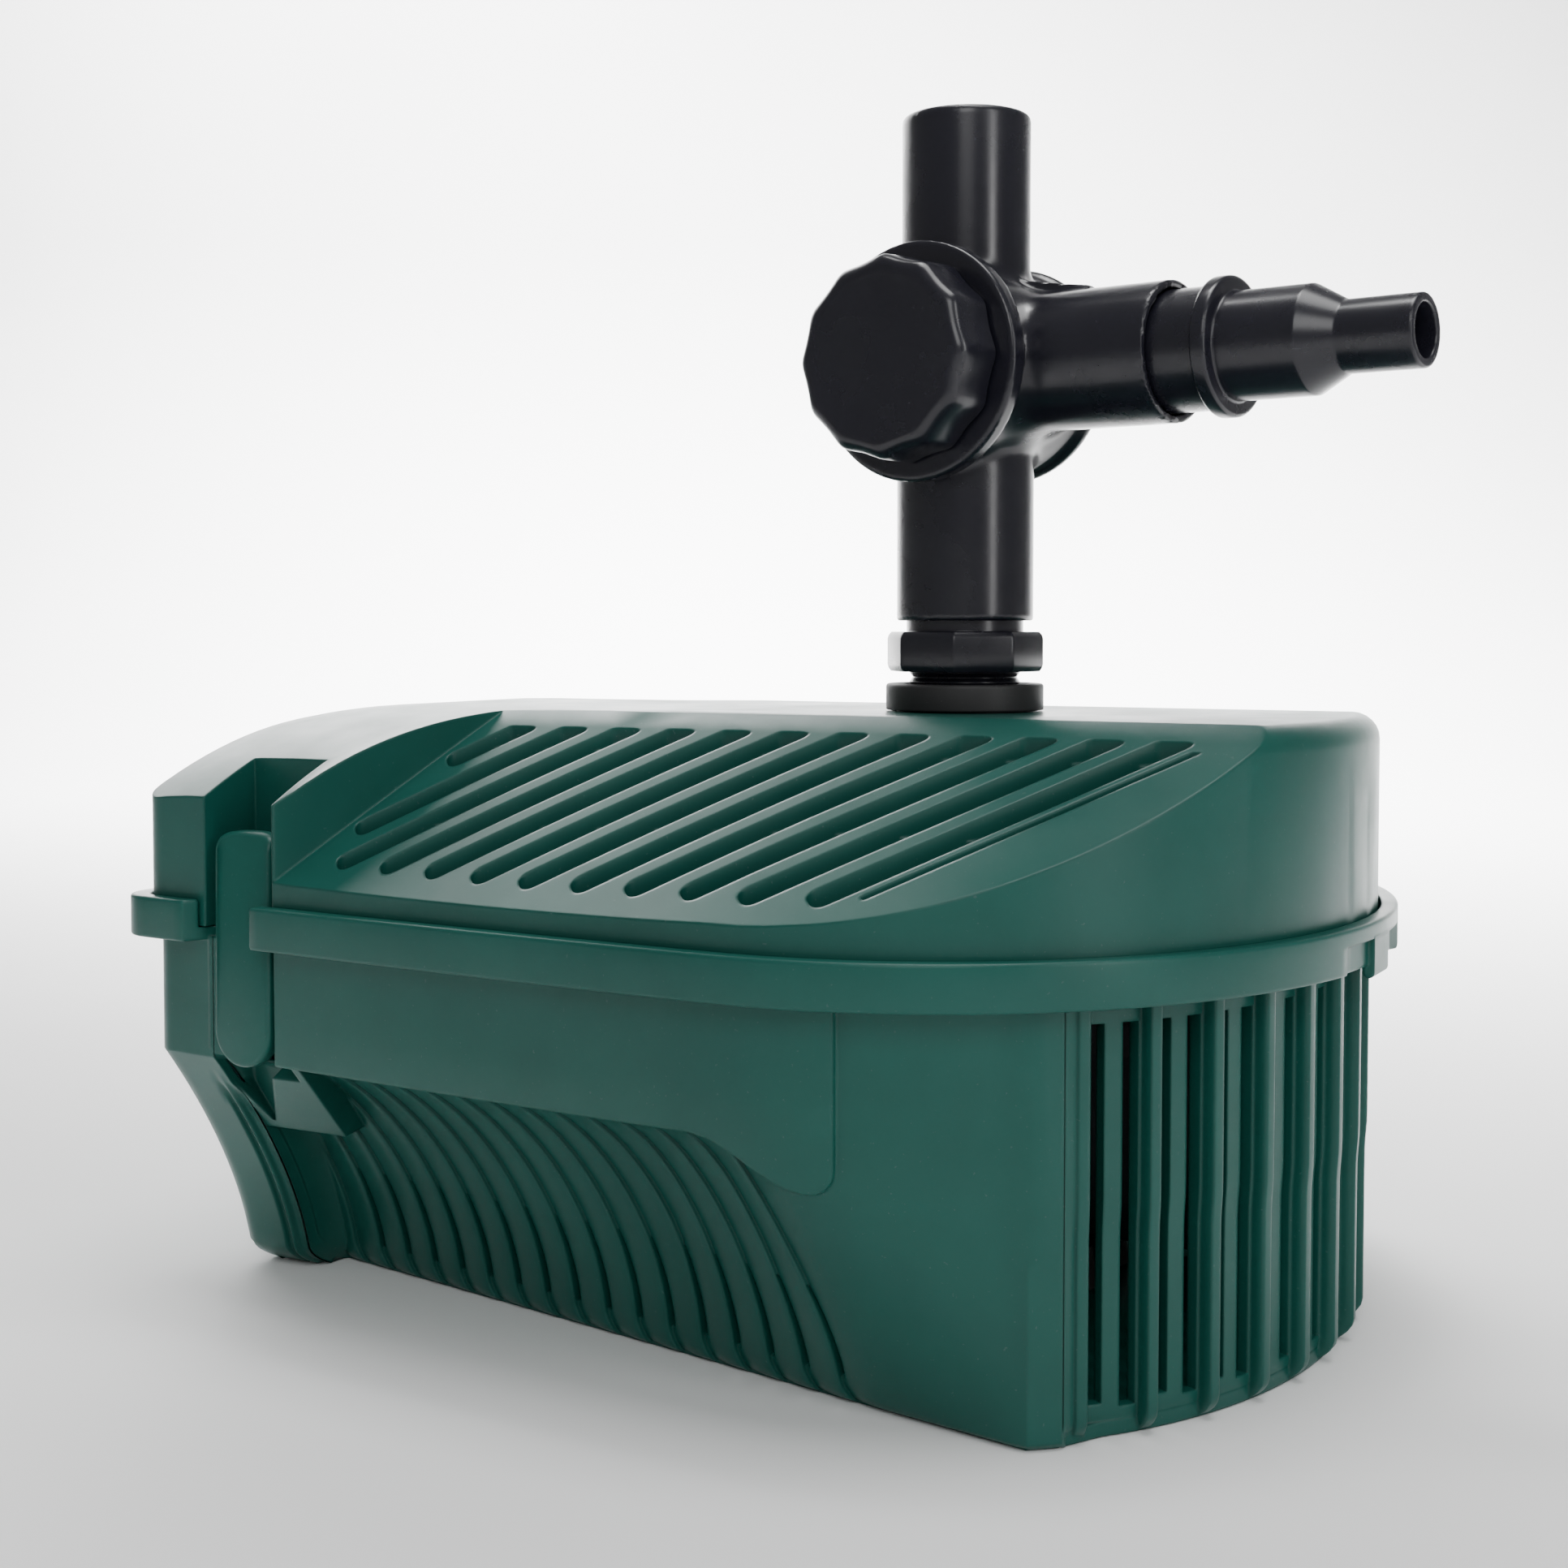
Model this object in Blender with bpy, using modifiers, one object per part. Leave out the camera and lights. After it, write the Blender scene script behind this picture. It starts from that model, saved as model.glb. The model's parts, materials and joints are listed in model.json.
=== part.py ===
"""Fountain submersible pump: a slotted two-part filter casing that holds the pump and its foam,
with a swivelling flow-control tee on the lid.

Frame: +X towards the rounded slotted nose, -Y towards the near side, +Z up. The origin is on the
underside of the base casing, straight below the outlet axis. Sizes here are in millimetres and
become metres where a mesh is made.
"""
import math

import bmesh
import bpy
from mathutils import Matrix, Vector

MM = 0.001
GAP = 0.3                                   # air left between neighbouring pieces

# Casing plan: a half ellipse at the nose, sides that taper to a flat end.
NOSE_LENGTH = 79.5
HALF_WIDTH = 92.0
END_X = -141.0
END_TAPER = 12.0
END_CORNER = 8.0
END_FOOT = 48.5                             # half the width of the flat end's foot
END_BLOCK_X = -122.0                        # where the flat end's corner block stops

# Casing heights.
FLOOR = 2.4
SHOULDER_LOW = 47.4                         # lower edge of the shoulder panel, latch end
SHOULDER_FALL = 7.7
NOSE_EDGE = 44.0                            # the same height past the panel's corner
RIM_LOW = 69.5
RIM_TOP = 77.3
LEDGE = 71.9
LID_TOP = 112.0
WALL = 2.4
FOOT_EASE = 1.5                             # how far the foot of the wall is eased in

# Insets from the rim's outer edge.
WALL_INSET = 5.0
BAY_INSET = 6.3
LID_INSET = 3.6
RIM_INNER_INSET = 3.0

# Slotted nose.
NOSE_START_X = 48.0
RIB_PITCH = 13.02
RIB_DEPTH = 2.6
NOSE_RIBS = 6
SLOT_WIDTH = 3.0

# Louvred side walls.
LOUVRES = 16
LOUVRE_PITCH = 7.6
LOUVRE_FIRST_X = -106.7

# Latches.
LATCH_X = (-117.3, -103.5)
NOTCH_X = (-119.5, -101.5)
LATCH_PIVOT = (-74.2, 56.0)                 # distance from the middle plane (near side), height
LATCH_Z = (46.6, 90.3)

# Lid panels.
RIDGE_Y = 32.0
PANEL_SLOPE = 0.536
PANEL_TWIST = 0.00094
PANEL_START_X = -84.0                       # wall between roof and slotted panel, at the ridge
PANEL_START_LEAN = -0.36
ROOF_RIDGE_Y = 35.0
ROOF_SLOPE = 0.39
GRILLE_THICK = 5.5
GRILLE_PITCH = 11.85
GRILLE_SLOT = 5.4
GRILLE_SLOTS = 12
GRILLE_FIRST_X = -75.4
GRILLE_TOP_Y = -37.0
GRILLE_BORDER = 4.4

# Hinge at the nose: a tongue on the lid's foot, curled under the rim's lip and concentric with it.
LIP_LOW = 74.2
HINGE = (NOSE_LENGTH - 1.5, 75.75)          # middle of the lip: X and height
TONGUE_RADII = (2.5, 3.6)
TONGUE_END = 245.0                          # angle of the tongue's free end, in degrees
TONGUE_HALF = 9.0
RIM_STEP = (17.0, 1.1)                      # half length and depth of the step below the lip
LUG_HALF = 5.0
LUG_X = (NOSE_LENGTH - 2.1, NOSE_LENGTH - 0.1)
LUG_LOW = 67.4

# Outlet stack on the Z axis.
COLLAR_TOP = 117.3
OCTAGON = (119.6, 127.1)
TEE_Z = 176.7
TOP_Z = 224.0
BRANCH_ANGLE = math.radians(-10.0)
KNOB_Z = (17.9, 28.6)                       # back and face of the knob along its axis
KNOB_RADIUS = 18.8
KNOB_FLAT = 17.7                            # distance from the knob's axis to the middle of a side
SOCKET_END = 44.8
TAIL_END = 90.5

# Pump.
PUMP_Y = 14.0
PUMP_Z = 40.0
ROTOR_RADIUS = 9.6

PARTS = "fountain_submersible_pump"


# ---------------------------------------------------------------- helpers

def clear_scene():
    for obj in list(bpy.data.objects):
        bpy.data.objects.remove(obj, do_unlink=True)


def collection(name):
    new = bpy.data.collections.new(name)
    bpy.context.scene.collection.children.link(new)
    return new


def material(name, colour, roughness, metallic=0.0):
    mat = bpy.data.materials.new(name)
    mat.use_nodes = True
    shader = mat.node_tree.nodes["Principled BSDF"]
    shader.inputs["Base Color"].default_value = (*colour, 1.0)
    shader.inputs["Roughness"].default_value = roughness
    shader.inputs["Metallic"].default_value = metallic
    return mat


def make_object(name, mesh, mat=None):
    """Put a mesh in the scene, as a part with a material or as a hidden cutter without one."""
    obj = bpy.data.objects.new(name, mesh)
    if mat is None:
        bpy.data.collections["cutters"].objects.link(obj)
        obj.hide_render = True
        obj.display_type = "WIRE"
    else:
        bpy.data.collections[PARTS].objects.link(obj)
        mesh.materials.append(mat)
    return obj


def finish_bmesh(name, bm, mat=None):
    bmesh.ops.recalc_face_normals(bm, faces=bm.faces)
    mesh = bpy.data.meshes.new(name)
    bm.to_mesh(mesh)
    bm.free()
    return make_object(name, mesh, mat)


def vec(x, y, z):
    return Vector((x * MM, y * MM, z * MM))


def box(name, low, high, mat=None):
    """A box between two corners."""
    bm = bmesh.new()
    bmesh.ops.create_cube(bm, size=1.0)
    size = [(b - a) * MM for a, b in zip(low, high)]
    bmesh.ops.scale(bm, vec=size, verts=bm.verts)
    obj = finish_bmesh(name, bm, mat)
    obj.location = vec(*[(a + b) / 2 for a, b in zip(low, high)])
    return obj


def pole(name, start, end, radius, mat=None, segments=32):
    """A round bar between two points."""
    first, last = vec(*start), vec(*end)
    bm = bmesh.new()
    bmesh.ops.create_cone(bm, cap_ends=True, segments=segments, radius1=radius * MM,
                          radius2=radius * MM, depth=(last - first).length)
    obj = finish_bmesh(name, bm, mat)
    obj.location = (first + last) / 2
    obj.rotation_euler = (last - first).to_track_quat("Z", "Y").to_euler()
    return obj


def turned(name, profile, mat, steps=32, closed=True):
    """A turned solid about Z from (radius, height) points that run down the outer side."""
    mesh = bpy.data.meshes.new(name)
    points = [vec(r, 0.0, z) for r, z in profile]
    edges = [(i, i + 1) for i in range(len(points) - 1)]
    if closed:
        edges.append((len(points) - 1, 0))
    mesh.from_pydata(points, edges, [])
    obj = make_object(name, mesh, mat)
    screw = obj.modifiers.new("turn", "SCREW")
    screw.steps = steps
    screw.render_steps = steps
    screw.use_merge_vertices = True
    screw.merge_threshold = 0.00001
    return obj


def ring(radius, wire, points=6):
    """Profile of a round cord ring: a circle of the wire's radius, run clockwise from the top."""
    angles = [math.tau * i / points for i in range(points)]
    return [(radius + wire * math.sin(a), wire * math.cos(a)) for a in angles]


def plate(name, outlines, low, high, mat=None):
    """Flat outlines (lists of x, y) filled and given a height from low to high."""
    curve = bpy.data.curves.new(name + "_outline", "CURVE")
    curve.dimensions = "2D"
    curve.fill_mode = "BOTH"
    curve.extrude = (high - low) / 2 * MM
    for outline in outlines:
        spline = curve.splines.new("POLY")
        spline.points.add(len(outline) - 1)
        for point, (x, y) in zip(spline.points, outline):
            point.co = (x * MM, y * MM, 0.0, 1.0)
        spline.use_cyclic_u = True
    guide = bpy.data.objects.new(name + "_outline", curve)
    bpy.context.scene.collection.objects.link(guide)
    guide.location.z = (low + high) / 2 * MM
    bpy.context.view_layer.update()
    seen = guide.evaluated_get(bpy.context.evaluated_depsgraph_get())
    mesh = bpy.data.meshes.new_from_object(seen)
    bm = bmesh.new()
    bm.from_mesh(mesh)
    bmesh.ops.remove_doubles(bm, verts=bm.verts, dist=0.000001)
    bmesh.ops.recalc_face_normals(bm, faces=bm.faces)
    bm.to_mesh(mesh)
    bm.free()
    mesh.name = name
    mesh.materials.clear()
    obj = make_object(name, mesh, mat)
    obj.matrix_world = guide.matrix_world.copy()
    bpy.data.objects.remove(guide, do_unlink=True)
    return obj


def across(name, outlines, low, high, mat=None):
    """A plate whose outline (distance along Y, height) lies across the casing, from X low to high."""
    obj = plate(name, outlines, low, high, mat)
    middle = (low + high) / 2
    upright = Matrix(((0, 0, 1), (1, 0, 0), (0, 1, 0))).to_4x4()
    obj.matrix_world = Matrix.Translation(vec(middle, 0, 0)) @ upright
    return obj


def combine(target, tool, operation="DIFFERENCE"):
    step = target.modifiers.new(tool.name, "BOOLEAN")
    step.operation = operation
    step.solver = "EXACT"
    step.object = tool
    return target


def lay_along_x(obj, y, z):
    """Turn a piece made about Z so that its axis lies along X at the given place."""
    obj.matrix_world = Matrix.Translation(vec(0, y, z)) @ Matrix.Rotation(math.pi / 2, 4, "Y")


def smooth(obj):
    obj.data.shade_smooth()
    obj.data.set_sharp_from_angle(angle=math.radians(35))


# ---------------------------------------------------------------- casing outline

def half_width(x, inset=0.0):
    """Half the casing's width at a place along X, drawn in by the inset."""
    if x <= 0:
        return HALF_WIDTH - inset - END_TAPER * (-x / 136.0) ** 1.3
    length = NOSE_LENGTH - inset
    return (HALF_WIDTH - inset) * math.sqrt(max(0.0, 1.0 - (x / length) ** 2))


def nose_points(inset, count):
    """Near half of the nose from its widest place round to the tip."""
    angles = [math.pi / 2 * (1 - i / count) for i in range(count + 1)]
    return [((NOSE_LENGTH - inset) * math.cos(a), -(HALF_WIDTH - inset) * math.sin(a)) for a in angles]


def casing_outline(inset, side_steps=6, nose_steps=14):
    """Closed plan outline of the casing at an inset from the rim's outer edge."""
    radius = END_CORNER - inset / 2
    corner_x = END_X + inset + radius
    corner_y = half_width(corner_x, inset) - radius
    near = []
    for i in range(5):
        angle = math.pi / 2 * i / 4
        near.append((corner_x - radius * math.cos(angle), -corner_y - radius * math.sin(angle)))
    for i in range(1, side_steps):
        x = corner_x * (1 - i / side_steps)
        near.append((x, -half_width(x, inset)))
    near += nose_points(inset, nose_steps)
    far = [(x, -y) for x, y in reversed(near[:-1])]
    return near + far


# ---------------------------------------------------------------- base casing

def bottom_half(x):
    """Half the width of the casing's underside."""
    if x < END_BLOCK_X:
        return END_FOOT
    return min(40.0 + (x + 124.0) * 0.1914, half_width(x, WALL_INSET))


def shoulder_edge(x):
    """Height of the lower edge of the shoulder panel: level, then down to its rounded corner."""
    if x < -10.0:
        return SHOULDER_LOW
    if x > 15.5:
        return NOSE_EDGE
    fall = SHOULDER_FALL * math.sin(min(1.0, (x + 10.0) / 22.0) * math.pi / 2) ** 2
    corner = 4.0 - math.sqrt(max(0.0, 16.0 - max(0.0, x - 11.5) ** 2))
    return SHOULDER_LOW - fall + corner


def cove(x, t):
    """How far out the lower wall stands (0 at the underside, 1 under the shoulder)."""
    if x < END_BLOCK_X:
        return t ** 1.3
    blend = min(1.0, max(0.0, (x + 25.0) / 40.0))
    hollow = 0.25 * t + 0.75 * (1 - math.sqrt(max(0.0, 1 - t * t)))
    return (1 - blend) * hollow + blend * t


def wall_half(x, share):
    """Half-width of the lower wall at a share of the shoulder edge's height."""
    foot = bottom_half(x)
    top = half_width(x, BAY_INSET if x < NOSE_START_X else WALL_INSET)
    return foot + (max(top, foot) - foot) * cove(x, share)


OUTER_SHARES = (0.04, 0.3, 0.55, 0.77, 0.92, 1.0)
INNER_SHARES = (0.85, 0.55, 0.25, 0.0)


def corner_rows(angle):
    """Section of the wall at the flat end (angle 0) and round its corner (up to 90 degrees)."""
    radius = END_CORNER - WALL_INSET / 2

    def at(half, inset, z, pull=0.0):
        arm = radius - pull
        x = END_X + inset + radius
        return vec(x - arm * math.cos(angle), -(half - radius) - arm * math.sin(angle), z)

    x = END_X + WALL_INSET + radius
    edge = shoulder_edge(x)
    rows = [at(bottom_half(x), WALL_INSET, 0.0, FOOT_EASE)]
    rows += [at(wall_half(x, s), WALL_INSET, s * edge) for s in OUTER_SHARES]
    rows += [at(half_width(x, inset), inset, z) for inset, z in upper_rows(edge, WALL_INSET)]
    rows += [at(wall_half(x, s), WALL_INSET, s * edge + FLOOR - 0.6 * s, WALL) for s in INNER_SHARES]
    return rows


def upper_rows(edge, wall_inset, inner=WALL_INSET + WALL):
    """Inset and height up the shoulder, round the rim channel and down inside."""
    return [(wall_inset, edge + 0.6), (wall_inset, RIM_LOW), (0.0, RIM_LOW), (0.0, RIM_TOP),
            (RIM_INNER_INSET, RIM_TOP), (RIM_INNER_INSET, LEDGE), (inner, LEDGE), (inner, edge + FLOOR + 0.6)]


def side_rows(x, on_shoulder):
    """Section of the side wall at a place along X."""
    edge = shoulder_edge(x)
    inset = WALL_INSET if on_shoulder else BAY_INSET
    rows = [vec(x, -(bottom_half(x) - FOOT_EASE), 0.0)]
    rows += [vec(x, -wall_half(x, s), s * edge) for s in OUTER_SHARES]
    rows += [vec(x, -half_width(x, i), z) for i, z in upper_rows(edge, inset)]
    rows += [vec(x, -(wall_half(x, s) - WALL), s * edge + FLOOR - 0.6 * s) for s in INNER_SHARES]
    return rows


def nose_rows(arc, raised):
    """Section of the nose wall at a distance along its curve, on a rib or between ribs."""
    angle = nose_angle(arc)

    def at(inset, z):
        return vec((NOSE_LENGTH - inset) * math.cos(angle), -(HALF_WIDTH - inset) * math.sin(angle), z)

    outer = WALL_INSET if raised else WALL_INSET + RIB_DEPTH
    inner = WALL_INSET + RIB_DEPTH + WALL
    rows = [at(outer + FOOT_EASE, 0.0)]
    rows += [at(outer, s * NOSE_EDGE) for s in OUTER_SHARES]
    rows += [at(i, z) for i, z in upper_rows(NOSE_EDGE, outer, inner)]
    rows += [at(inner, s * NOSE_EDGE + FLOOR - 0.6 * s) for s in INNER_SHARES]
    return rows


def nose_angle(arc):
    """Ellipse angle at a distance along the nose wall from the tip."""
    a, b = NOSE_LENGTH - WALL_INSET, HALF_WIDTH - WALL_INSET
    angle, step = 0.0, 0.002
    while arc > 0:
        arc -= step * math.hypot(a * math.sin(angle), b * math.cos(angle))
        angle += step
    return angle


def nose_stations():
    """Ribs round the near half of the nose, from the side towards the tip."""
    rows = []
    for i in reversed(range(NOSE_RIBS)):
        arc = RIB_PITCH * (i + 0.5)
        if i < NOSE_RIBS - 1:
            rows.append(nose_rows(arc + 1.7, False))
        rows.append(nose_rows(arc + 1.3, True))
        rows.append(nose_rows(arc - 1.3, True))
        rows.append(nose_rows(arc - 1.7, False))
    rows.append(nose_rows(0.0, False))
    return rows


def base_shell(mat):
    """Casing with its cove walls, shoulder and rim channel, as a loft of wall sections."""
    stations = []
    flat = corner_rows(0.0)
    stations.append([Vector((p.x, 0.0, p.z)) for p in flat])
    stations += [corner_rows(math.pi / 2 * i / 3) for i in range(4)]
    for x in (-122.4, -120.1, -108, -90, -72, -54, -36, -20, -8, 2, 10, 15.2):
        stations.append(side_rows(x, True))
    for x in (15.8, 23, 31, 39, 46.5):
        stations.append(side_rows(x, False))
    stations += nose_stations()
    bm = bmesh.new()
    columns = [[bm.verts.new(p) for p in rows] for rows in stations]
    for left, right in zip(columns, columns[1:]):
        for i in range(len(left) - 1):
            bm.faces.new((left[i], left[i + 1], right[i + 1], right[i]))
    bm.faces.new([c[0] for c in columns])
    bm.faces.new([c[-1] for c in reversed(columns)])
    obj = finish_bmesh("base_casing", bm, mat)
    mirror = obj.modifiers.new("far_side", "MIRROR")
    mirror.use_axis = (False, True, False)
    mirror.merge_threshold = 0.00005
    return obj


def both_sides(points):
    return [points, [(-y, z) for y, z in reversed(points)]]


def slot_cutter():
    """Upright slots between the ribs round the nose."""
    bm = bmesh.new()
    a, b = NOSE_LENGTH - WALL_INSET, HALF_WIDTH - WALL_INSET
    for side in (-1, 1):
        for i in range(2 * NOSE_RIBS - 1):
            angle = nose_angle(RIB_PITCH * (i + 0.5) / 2)
            x, y = a * math.cos(angle), side * b * math.sin(angle)
            normal = math.atan2(y / b ** 2, x / a ** 2)
            place = Matrix.Translation(vec(x, y, 34.5)) @ Matrix.Rotation(normal, 4, "Z")
            size = Matrix.Diagonal((26 * MM, SLOT_WIDTH * MM, 61 * MM, 1.0))
            bmesh.ops.create_cube(bm, size=1.0, matrix=place @ size)
    return finish_bmesh("nose_slots_cut", bm)


def louvre_cutter():
    """Narrow inlet slits low in the side walls, one under each louvre."""
    bm = bmesh.new()
    for side in (-1, 1):
        for i in range(LOUVRES):
            x = LOUVRE_FIRST_X + LOUVRE_PITCH * i
            place = Matrix.Translation(vec(x, side * (bottom_half(x) + 2.0), 14.5))
            size = Matrix.Diagonal((1.5 * MM, 16 * MM, 15 * MM, 1.0))
            bmesh.ops.create_cube(bm, size=1.0, matrix=place @ size)
    return finish_bmesh("louvre_slits_cut", bm)


def base_casing(mat):
    """The base with its latch channels, slots and slits."""
    base = base_shell(mat)
    block = [(-76.5, 69.0), (-76.5, 48.5), (-62.5, 32.4), (-55.0, 33.2), (-66.5, 50.0), (-66.5, 69.0)]
    blocks = across("latch_channel_block", both_sides(block), NOTCH_X[0] - 2.2, NOTCH_X[1] + 2.2)
    combine(base, blocks, "UNION")
    recess = [(-95.0, 80.0), (-95.0, 38.0), (-72.6, 43.5), (-70.4, 48.0), (-70.4, 80.0)]
    combine(base, across("latch_channel_cut", both_sides(recess), *NOTCH_X))
    for side, word in ((1, "near"), (-1, "far")):
        y, z = LATCH_PIVOT[0] * side, LATCH_PIVOT[1]
        ends = ((NOTCH_X[0] - 1.7, y, z), (NOTCH_X[1] + 1.7, y, z))
        combine(base, pole(f"latch_pivot_{word}_cut", *ends, 1.75, segments=16))
    reach = TONGUE_HALF + 2 * GAP
    room = ((NOSE_LENGTH - 5.5, -reach, LEDGE - 0.9), (NOSE_LENGTH - 2.4, reach, LIP_LOW))
    combine(base, box("tongue_room_cut", *room))
    half, depth = RIM_STEP
    combine(base, box("rim_step_cut", (NOSE_LENGTH - depth, -half, RIM_LOW - 1.0),
                      (NOSE_LENGTH + 2.0, half, LIP_LOW)))
    combine(base, rim_lug(), "UNION")
    combine(base, slot_cutter())
    combine(base, louvre_cutter())
    return base


def rim_lug():
    """Round-bottomed lug that hangs below the rim's lip at the nose."""
    middle, radius = sum(LUG_X) / 2, (LUG_X[1] - LUG_X[0]) / 2
    points = [(LUG_X[0], LIP_LOW + 0.4), (LUG_X[1], LIP_LOW + 0.4)]
    for i in range(7):
        angle = -math.pi * i / 6
        points.append((middle + radius * math.cos(angle), LUG_LOW + radius + radius * math.sin(angle)))
    lug = plate("rim_lug", [points], -LUG_HALF, LUG_HALF)
    lug.matrix_world = Matrix.Rotation(math.pi / 2, 4, "X")
    return lug


# ---------------------------------------------------------------- lid

def panel_height(x, y):
    """Height of the slotted side panel, which steepens a little towards the latch end."""
    slope = PANEL_SLOPE + PANEL_TWIST * max(0.0, -x)
    return LID_TOP - slope * (abs(y) - RIDGE_Y)


def wedge(name, columns, drop):
    """Solid above a sloping panel. Each column is (x, y) at the ridge and (x, y) beyond the wall."""
    bm = bmesh.new()
    rows = []
    for inner, outer, height in columns:
        low_in = vec(inner[0], inner[1], height(*inner) - drop)
        low_out = vec(outer[0], outer[1], height(*outer) - drop)
        high_in = vec(inner[0], inner[1], 140.0)
        high_out = vec(outer[0], outer[1], 140.0)
        rows.append([bm.verts.new(p) for p in (low_in, low_out, high_out, high_in)])
    for left, right in zip(rows, rows[1:]):
        for i in range(4):
            j = (i + 1) % 4
            bm.faces.new((left[i], left[j], right[j], right[i]))
    bm.faces.new(rows[0])
    bm.faces.new(rows[-1])
    bmesh.ops.triangulate(bm, faces=bm.faces)
    return finish_bmesh(name, bm)


def roof_height(x, y):
    return LID_TOP - ROOF_SLOPE * (abs(y) - ROOF_RIDGE_Y)


def lid_wedges(tag, side, roof_drop, panel_drop, margin):
    """Cutters above the roof at the latch end and above the slotted panel, on one side."""
    ridge, roof_ridge, out = side * RIDGE_Y, side * ROOF_RIDGE_Y, side * 110.0
    roof = wedge(f"roof_{tag}", [((-160.0, roof_ridge), (-160.0, out), roof_height),
                                 ((-70.0, roof_ridge), (-105.0, out), roof_height)], roof_drop)
    start = PANEL_START_X + margin
    foot = start + PANEL_START_LEAN * (110.0 - RIDGE_Y)
    columns = [((start, ridge), (foot, out), panel_height)]
    for x in (-60.0, -30.0, 0.0):
        columns.append(((x, ridge), (x, out), panel_height))
    columns.append(((100.0, ridge), (100.0, out), panel_height))
    return roof, wedge(f"panel_{tag}", columns, panel_drop)


def lid_solid(name, inset, low, high, roof_drop, panel_drop, margin, mat=None):
    """The lid's outer form (or, drawn in, its hollow)."""
    body = plate(name, [casing_outline(inset)], low, high, mat)
    for side, word in ((-1, "near"), (1, "far")):
        for cutter in lid_wedges(f"{name}_{word}", side, roof_drop, panel_drop, margin):
            combine(body, cutter)
    return body


def grille_slots():
    """Plan outlines of the near panel's diagonal slots, round-ended, clipped to the panel."""
    outlines = []
    half = GRILLE_SLOT / 2
    along = Vector((-1.0, -1.0)).normalized()
    for i in range(GRILLE_SLOTS):
        top = Vector((GRILLE_FIRST_X + GRILLE_PITCH * i, GRILLE_TOP_Y))
        reach = slot_reach(top, along)
        if reach < 9.0:
            continue
        points = []
        for centre, turn in ((top + along * half, 45.0), (top + along * (reach - half), 225.0)):
            for k in range(4):
                angle = math.radians(turn - 90.0 + 60.0 * k)
                points.append((centre.x + half * math.cos(angle), centre.y + half * math.sin(angle)))
        outlines.append(points)
    return outlines


def slot_reach(top, along):
    """How far a slot runs before it meets the wall beside the panel or the panel's lower border."""
    reach = 0.0
    while reach < 75.0:
        tip = top + along * (reach + 2.0)
        wall_x = PANEL_START_X + PANEL_START_LEAN * (-tip.y - RIDGE_Y)
        if tip.x < wall_x + 2.5 or -tip.y > half_width(tip.x, LID_INSET) - GRILLE_BORDER:
            break
        reach += 0.5
    return reach


def lid(mat):
    """The lid: a roofed, slotted shell with latch notches, the outlet hole, tab and hinge tongue."""
    body = lid_solid("lid", LID_INSET, LEDGE + GAP, LID_TOP, 0.0, 0.0, 0.0, mat)
    hollow = lid_solid("lid_hollow", LID_INSET + WALL, 60.0, LID_TOP - WALL, WALL, GRILLE_THICK, -2.0)
    for side, word in ((-1, "near"), (1, "far")):
        y_low, y_high = sorted((side * 62.0, side * 100.0))
        keep = box(f"notch_{word}_wall", (NOTCH_X[0] - 2, y_low, 50), (NOTCH_X[1] + 2, y_high, 130))
        combine(hollow, keep)
        y_low, y_high = sorted((side * 64.5, side * 105.0))
        notch = box(f"notch_{word}_cut", (NOTCH_X[0], y_low, 45), (NOTCH_X[1], y_high, 135))
        combine(body, notch)
    combine(body, hollow)
    combine(body, pole("outlet_hole_cut", (0, 0, 100), (0, 0, 120), 13.6))
    tab = box("lift_tab", (END_X - 4.0, -16.0, 78.0), (END_X + LID_INSET + 1.0, 16.0, 81.6))
    combine(body, tab, "UNION")
    combine(body, hinge_tongue(), "UNION")
    near = grille_slots()
    far = [[(x, -y) for x, y in reversed(line)] for line in near]
    combine(body, plate("grille_slots_cut", near + far, 65.0, 130.0))
    return body


def hinge_tongue():
    """Curled tongue on the lid's foot that reaches under the rim's lip."""
    inner, outer = TONGUE_RADII
    points = []
    for radius, start, end in ((outer, 180.0, TONGUE_END), (inner, TONGUE_END, 180.0)):
        for i in range(7):
            angle = math.radians(start + (end - start) * i / 6)
            points.append((HINGE[0] + radius * math.cos(angle), HINGE[1] + radius * math.sin(angle)))
    tongue = plate("hinge_tongue", [points], -TONGUE_HALF, TONGUE_HALF)
    tongue.matrix_world = Matrix.Rotation(math.pi / 2, 4, "X")
    return tongue


# ---------------------------------------------------------------- latches

def latch(word, side, mat):
    """A round-ended tongue on two pivot stubs in the base's channel, with a small catch nib."""
    width = LATCH_X[1] - LATCH_X[0]
    middle = (LATCH_X[0] + LATCH_X[1]) / 2
    radius = width / 2 - 0.2
    points = []
    for centre_z, turn, squash in ((LATCH_Z[1] - 3.5, 0.0, 0.5), (LATCH_Z[0] + radius, math.pi, 1.0)):
        for i in range(9):
            angle = turn + math.pi * i / 8
            points.append((middle + radius * math.cos(angle), centre_z + radius * squash * math.sin(angle)))
    tongue = plate(f"latch_{word}", [points], -1.6, 1.6, mat)
    y, z = LATCH_PIVOT[0] * side, LATCH_PIVOT[1]
    tongue.matrix_world = Matrix.Translation(vec(0, side * -77.4, 0)) @ Matrix.Rotation(math.pi / 2, 4, "X")
    ends = ((NOTCH_X[0] - 1.3, y, z), (NOTCH_X[1] + 1.3, y, z))
    combine(tongue, pole(f"latch_{word}_stub", *ends, 1.4, segments=16), "UNION")
    low, high = sorted((side * -76.5, side * -72.6))
    combine(tongue, box(f"latch_{word}_boss", (-115.5, low, z - 3.0), (-105.3, high, z + 3.0)), "UNION")
    low, high = sorted((side * -76.5, side * -72.0))
    combine(tongue, box(f"latch_{word}_nib", (-114.0, low, 82.4), (-106.8, high, 84.6)), "UNION")
    return tongue


# ---------------------------------------------------------------- filter

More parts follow.
